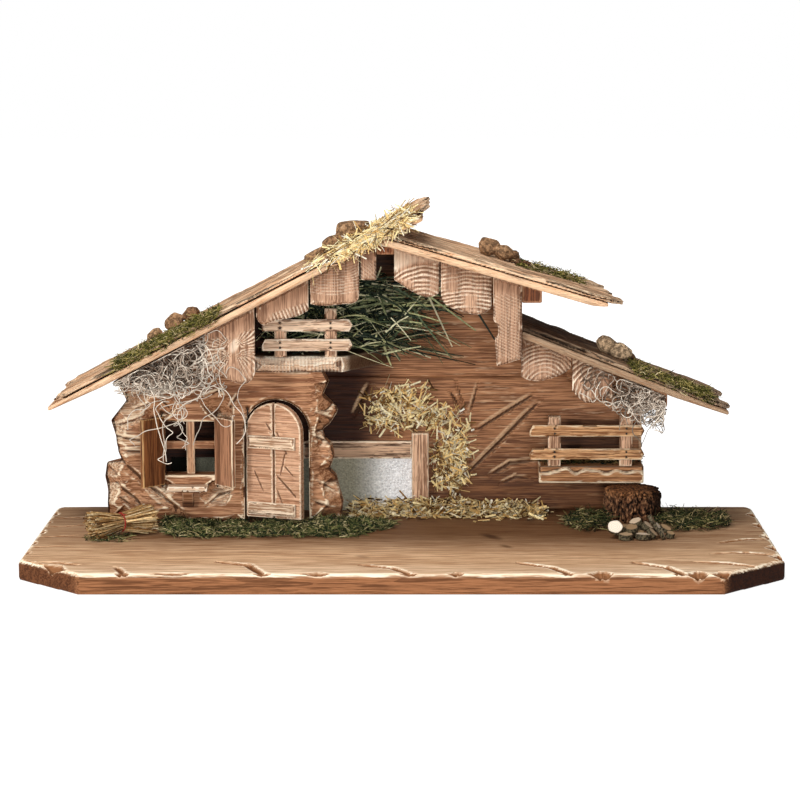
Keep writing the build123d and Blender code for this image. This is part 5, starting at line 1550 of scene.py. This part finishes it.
sawn = 0.0008 * (1 + cloud(points, 0.005, 6)) + 0.0018 * smooth(0.024, 0.031, radius)
points[:, 2] -= np.where(top, sawn, 0)
writePoints(stump, points)
markEdges(stump, stumpLook["voxel"])
f = Finish("stumpBark")
grit = f.noise(f.place((0, 0, 0), (420, 420, 170)), 1.0, 4.0, 0.7)
bark = f.blend(f.ramp(grit, 0.36, 0.64), (0.02, 0.009, 0.005), (0.17, 0.072, 0.034))
bark = f.blend(f.layer("hollow"), bark, (0.006, 0.003, 0.002))
bark = f.blend(f.layer("wear") * f.ramp(grit, 0.4, 0.65) * 0.8, bark, (0.42, 0.22, 0.11))
rise = f.axis(2)
upperRim = f.ramp(rise + grit * 0.012, deck + 0.028, deck + 0.036) * f.ramp(grit, 0.4, 0.6) * 0.7
bark = f.blend(upperRim, bark, (0.36, 0.15, 0.055))
# painted shade on the stump's right side, away from the light
across = f.axis(0)
bark = f.blend(f.ramp(across, 0.232, 0.250), bark, (0.22, 0.19, 0.17), "MULTIPLY")
barkFinish = f.finish(
    Base_Color=bark, Roughness=0.85, Normal=f.bump(grit, 0.8, 0.0015), Specular_IOR_Level=0.15)
dress(stump, "stable", barkFinish, "bark", "stump")

# log slices before the stump: place of the middle, radius, thickness, tilt about X and Y

sliceLook = (
    (-0.0245, -0.006, 0.0105, 0.0082, 0.0030, 46, -10), (-0.0150, -0.0125, 0.0030, 0.0078, 0.0052, 2, 3),
    (0.0015, -0.0125, 0.0030, 0.0076, 0.0052, -3, 2), (-0.0090, -0.003, 0.0088, 0.0072, 0.0040, 12, -6),
    (-0.0040, 0.006, 0.0125, 0.0066, 0.0050, 14, -22), (0.0065, 0.002, 0.0095, 0.0066, 0.0050, 10, 34),
    (-0.0120, 0.009, 0.0060, 0.0070, 0.0055, 5, 5), (0.0030, 0.011, 0.0070, 0.0066, 0.0060, -8, 12),
    (0.0110, 0.006, 0.0148, 0.0064, 0.0034, 12, 62), (0.0165, -0.004, 0.0085, 0.0072, 0.0034, 14, 54),
    (0.0190, -0.010, 0.0048, 0.0062, 0.0036, 8, 66), (0.0235, 0.002, 0.0075, 0.0060, 0.0040, 16, 24),
    (0.0150, 0.012, 0.0055, 0.0060, 0.0050, 4, -6), (0.0275, -0.0065, 0.0030, 0.0048, 0.0046, 10, 14),
    (-0.0020, -0.001, 0.0035, 0.0070, 0.0050, 3, 4), (-0.0200, 0.006, 0.0038, 0.0060, 0.0055, -4, 2),
    (0.0100, -0.009, 0.0050, 0.0058, 0.0046, 12, 40))
discLook = {"radius": 0.007, "height": 0.0048, "bevel": 0.0004, "scale": 0.0078}
pile = Vector((0.226, 0.004, deck))
bpy.ops.object.select_all(action="DESELECT")
slices = []
bpy.ops.mesh.primitive_cylinder_add(
    vertices=18, radius=discLook["radius"], depth=discLook["height"], end_fill_type="TRIFAN")
disc = bpy.context.object
soft = disc.modifiers.new("soft", "BEVEL")
soft.width = discLook["bevel"]
soft.segments = 2
soft.limit_method = "ANGLE"
soft.angle_limit = math.radians(60)
applyAll(disc)
points = readPoints(disc)
writeLayer(disc, "sawn", (np.abs(points[:, 2]) > discLook["height"] / 2 - 0.00012).astype(float))
writeLayer(disc, "fromHeart", np.hypot(points[:, 0], points[:, 1]) / discLook["radius"])
for x, y, z, radius, thickness, tiltX, tiltY in sliceLook:
    copy = twin(disc)
    wide = radius / discLook["scale"]
    shaped = points * np.array((wide, wide, thickness / discLook["height"]))
    way = np.arctan2(shaped[:, 1], shaped[:, 0])
    shaped[:, :2] *= (1 + 0.06 * np.sin(way * 2 + x * 900) + 0.04 * np.sin(way * 5 + y * 700))[:, None]
    tilt = Matrix.Rotation(math.radians(tiltX), 3, "X") @ Matrix.Rotation(math.radians(tiltY), 3, "Y")
    shaped = shaped @ np.array(tilt).T + np.array(pile + Vector((x, y, z)))
    shaped[:, 2] += max(0, deck + 0.0002 - shaped[:, 2].min())
    writePoints(copy, shaped)
    fresh = 0.15 + scramble(int(x * 9000), int(y * 9000), 3, 5) * 0.65
    writeLayer(copy, "pale", np.full(len(shaped), fresh if slices else 1.0))   # the first is freshly sawn
    slices.append(copy)
bpy.data.objects.remove(disc)
logs = joinPieces(slices, slices[0])
logs.name = "logSlices"
f = Finish("sawnSlices")
speck = f.speckle(500, 3.0)
sliceTones = [(0.0, (0.10, 0.055, 0.028)), (0.5, (0.36, 0.24, 0.13)), (1.0, (0.84, 0.77, 0.66))]
pale = f.node("ShaderNodeValToRGB", {"stops": sliceTones}, {0: f.layer("pale")})
yearRings = f.node("ShaderNodeMath", {"operation": "SINE"}, {0: f.layer("fromHeart") * 26.0})
face = f.blend(f.ramp(yearRings, -0.4, 1.0) * 0.35, pale, (0.40, 0.24, 0.12))
face = f.blend(f.ramp(f.layer("fromHeart"), 0.86, 0.97), face, (0.12, 0.08, 0.05))
side = f.blend(f.ramp(speck, 0.38, 0.62), (0.014, 0.012, 0.007), (0.13, 0.105, 0.06))
sliceFinish = f.finish(
    Base_Color=f.blend(f.layer("sawn"), side, face), Roughness=0.7, Normal=f.bump(speck, 0.6, 0.0008),
    Specular_IOR_Level=0.2)
dress(logs, "stable", sliceFinish, "slice_wood", "log_slices")
print("stump and slices made")

# stones and bark lumps on the roofs: slope, across, back, length, width, height, tone

stoneLook = (
    ("left", -0.221, 0.074, 0.022, 0.017, 0.017, 0.45),
    ("left", -0.205, 0.074, 0.018, 0.015, 0.015, 0.35),
    ("left", -0.239, 0.066, 0.018, 0.014, 0.012, 0.6),
    ("left", -0.050, 0.060, 0.036, 0.030, 0.021, 0.5),
    ("left", -0.068, 0.064, 0.026, 0.024, 0.013, 0.4),
    ("left", -0.084, 0.062, 0.026, 0.020, 0.009, 0.55),
    ("upper", 0.082, 0.096, 0.023, 0.019, 0.018, 0.45),
    ("upper", 0.097, 0.093, 0.022, 0.018, 0.016, 0.5),
    ("upper", 0.107, 0.100, 0.014, 0.014, 0.013, 0.4),
    ("upper", 0.112, 0.088, 0.010, 0.008, 0.006, 0.1),
    ("upper", 0.119, 0.084, 0.010, 0.008, 0.006, 0.05),
    ("lower", 0.196, 0.078, 0.021, 0.018, 0.017, 0.85),
    ("lower", 0.211, 0.074, 0.022, 0.018, 0.017, 0.9),
    ("lower", 0.220, 0.080, 0.012, 0.010, 0.009, 0.2),
)
bpy.ops.object.select_all(action="DESELECT")
stones = []
bpy.ops.mesh.primitive_ico_sphere_add(subdivisions=4, radius=1)
lump = bpy.context.object
ball = readPoints(lump)
for slopeName, x, y, length, width, height, tone in stoneLook:
    stone = twin(lump)
    points = ball * (1 + 0.22 * cloud(ball + x * 90, 0.7, 3) + 0.12 * cloud(ball + y * 70, 0.35, 4))[:, None]
    for way in unit(dice.normal(size=(14, 3))):   # flat broken sides
        points -= np.outer(np.clip(points @ way - dice.uniform(0.72, 0.98), 0, None), way)
    points *= np.array((length / 2, width / 2, height / 2))
    seat = onSlope(slopeName, np.array([x]), np.array([y]), height * 0.36)[0]
    points = points @ np.array(slopeView(pitches[slopeName])) + seat
    writePoints(stone, points)
    writeLayer(stone, "tone", np.full(len(points), tone))
    stones.append(stone)
bpy.data.objects.remove(lump)
lumps = joinPieces(stones, stones[0])
lumps.name = "roofStones"
f = Finish("barkStone")
grit = f.speckle(260, 4.0, 0.7)
stoneTones = [
    (0.0, (0.10, 0.045, 0.02)), (0.35, (0.32, 0.165, 0.08)), (0.65, (0.56, 0.34, 0.18)),
    (1.0, (0.98, 0.73, 0.47))]
colour = f.node("ShaderNodeValToRGB", {"stops": stoneTones}, {0: f.layer("tone")})
colour = f.blend(f.ramp(grit, 0.40, 0.60), f.blend(0.75, colour, (0.03, 0.015, 0.008)), colour)
colour = f.blend(f.ramp(grit, 0.60, 0.70) * 0.5, colour, (0.85, 0.70, 0.52))
stoneFinish = f.finish(
    Base_Color=colour, Roughness=0.75, Normal=f.bump(grit, 1.0, 0.003), Specular_IOR_Level=0.2)
dress(lumps, "stable", stoneFinish, "stone", "roof_stones")
bpy.ops.object.select_all(action="DESELECT")
print("stones laid")

# floor, light and camera

bpy.ops.mesh.primitive_plane_add(size=14, location=(0, 0, -0.0004))
floor = bpy.context.object
floor.name = "paleFloor"
f = Finish("paleFloor")
output = next(node for node in f.tree.nodes if node.type == "OUTPUT_MATERIAL")
rays = f.tree.nodes.new("ShaderNodeLightPath")
seen = Val(f, rays.outputs["Is Camera Ray"])
for ray in ("Is Glossy Ray", "Is Transmission Ray"):
    seen = seen + Val(f, rays.outputs[ray])
f.finish(Base_Color=(0.95, 0.95, 0.95), Roughness=0.9, Specular_IOR_Level=0.0)
glow = f.node("ShaderNodeEmission", {}, {"Color": (1.0, 1.0, 1.0), "Strength": 1.25})
away = f.node("ShaderNodeVectorMath", {"operation": "LENGTH"}, {0: f.place((0, 0, 0), (0.8, 1.2, 0))}, 1)
share = f.ramp(seen, 0.0, 1.0) * (0.72 + f.ramp(away, 0.32, 0.75) * 0.28)
mixed = f.node("ShaderNodeMixShader", {}, {0: share, 1: Val(f, f.shader.outputs[0]), 2: glow})
f.tree.links.new(mixed.socket, output.inputs["Surface"])
floor.data.materials.append(f.material)

lightLook = {"above": 24, "key": 46, "fill": 26, "sky": 0.17}
world = bpy.data.worlds.new("studio")
bpy.context.scene.world = world
world.use_nodes = True
tree = world.node_tree
tree.nodes.clear()
rays = tree.nodes.new("ShaderNodeLightPath")
seen = tree.nodes.new("ShaderNodeMath")
seen.operation = "MAXIMUM"
tree.links.new(rays.outputs["Is Camera Ray"], seen.inputs[0])
tree.links.new(rays.outputs["Is Transmission Ray"], seen.inputs[1])
studio = tree.nodes.new("ShaderNodeBackground")
studio.inputs["Color"].default_value = (1, 0.98, 0.95, 1)
studio.inputs["Strength"].default_value = lightLook["sky"]
backdrop = tree.nodes.new("ShaderNodeBackground")
backdrop.inputs["Color"].default_value = (1, 1, 1, 1)
backdrop.inputs["Strength"].default_value = 1.0
choice = tree.nodes.new("ShaderNodeMixShader")
tree.links.new(seen.outputs[0], choice.inputs[0])
tree.links.new(studio.outputs[0], choice.inputs[1])
tree.links.new(backdrop.outputs[0], choice.inputs[2])
tree.links.new(choice.outputs[0], tree.nodes.new("ShaderNodeOutputWorld").inputs["Surface"])


def areaLight(name, place, target, power, size, colour):
    light = bpy.data.lights.new(name, "AREA")
    light.energy = power
    light.shape = "DISK"
    light.size = size
    light.color = colour
    lamp = bpy.data.objects.new(name, light)
    bpy.context.scene.collection.objects.link(lamp)
    lamp.location = place
    lamp.rotation_euler = (Vector(target) - Vector(place)).to_track_quat("-Z", "Y").to_euler()


areaLight("softBox", (-0.35, -0.55, 1.75), (0, -0.1, 0.1), lightLook["above"], 1.1, (1.0, 0.98, 0.95))
areaLight("keyLight", (-2.0, -2.5, 0.95), (0, 0, 0.14), lightLook["key"], 0.45, (1.0, 0.97, 0.93))
areaLight("fillLight", (0.3, -2.7, 0.30), (0.05, 0, 0.10), lightLook["fill"], 0.7, (1.0, 0.98, 0.96))

cameraLook = {"place": (0.025, -2.3068, 0.5258), "pitch": 80.783, "lens": 111.8, "shift": -0.0364}
cameraData = bpy.data.cameras.new("photoCamera")
cameraData.sensor_width = 36
cameraData.lens = cameraLook["lens"]
cameraData.shift_x = cameraLook["shift"]
camera = bpy.data.objects.new("photoCamera", cameraData)
camera.location = cameraLook["place"]
camera.rotation_euler = (math.radians(cameraLook["pitch"]), 0, 0)
bpy.context.scene.collection.objects.link(camera)
bpy.context.scene.camera = camera
bpy.context.scene.view_settings.view_transform = "Standard"
print("stage set")
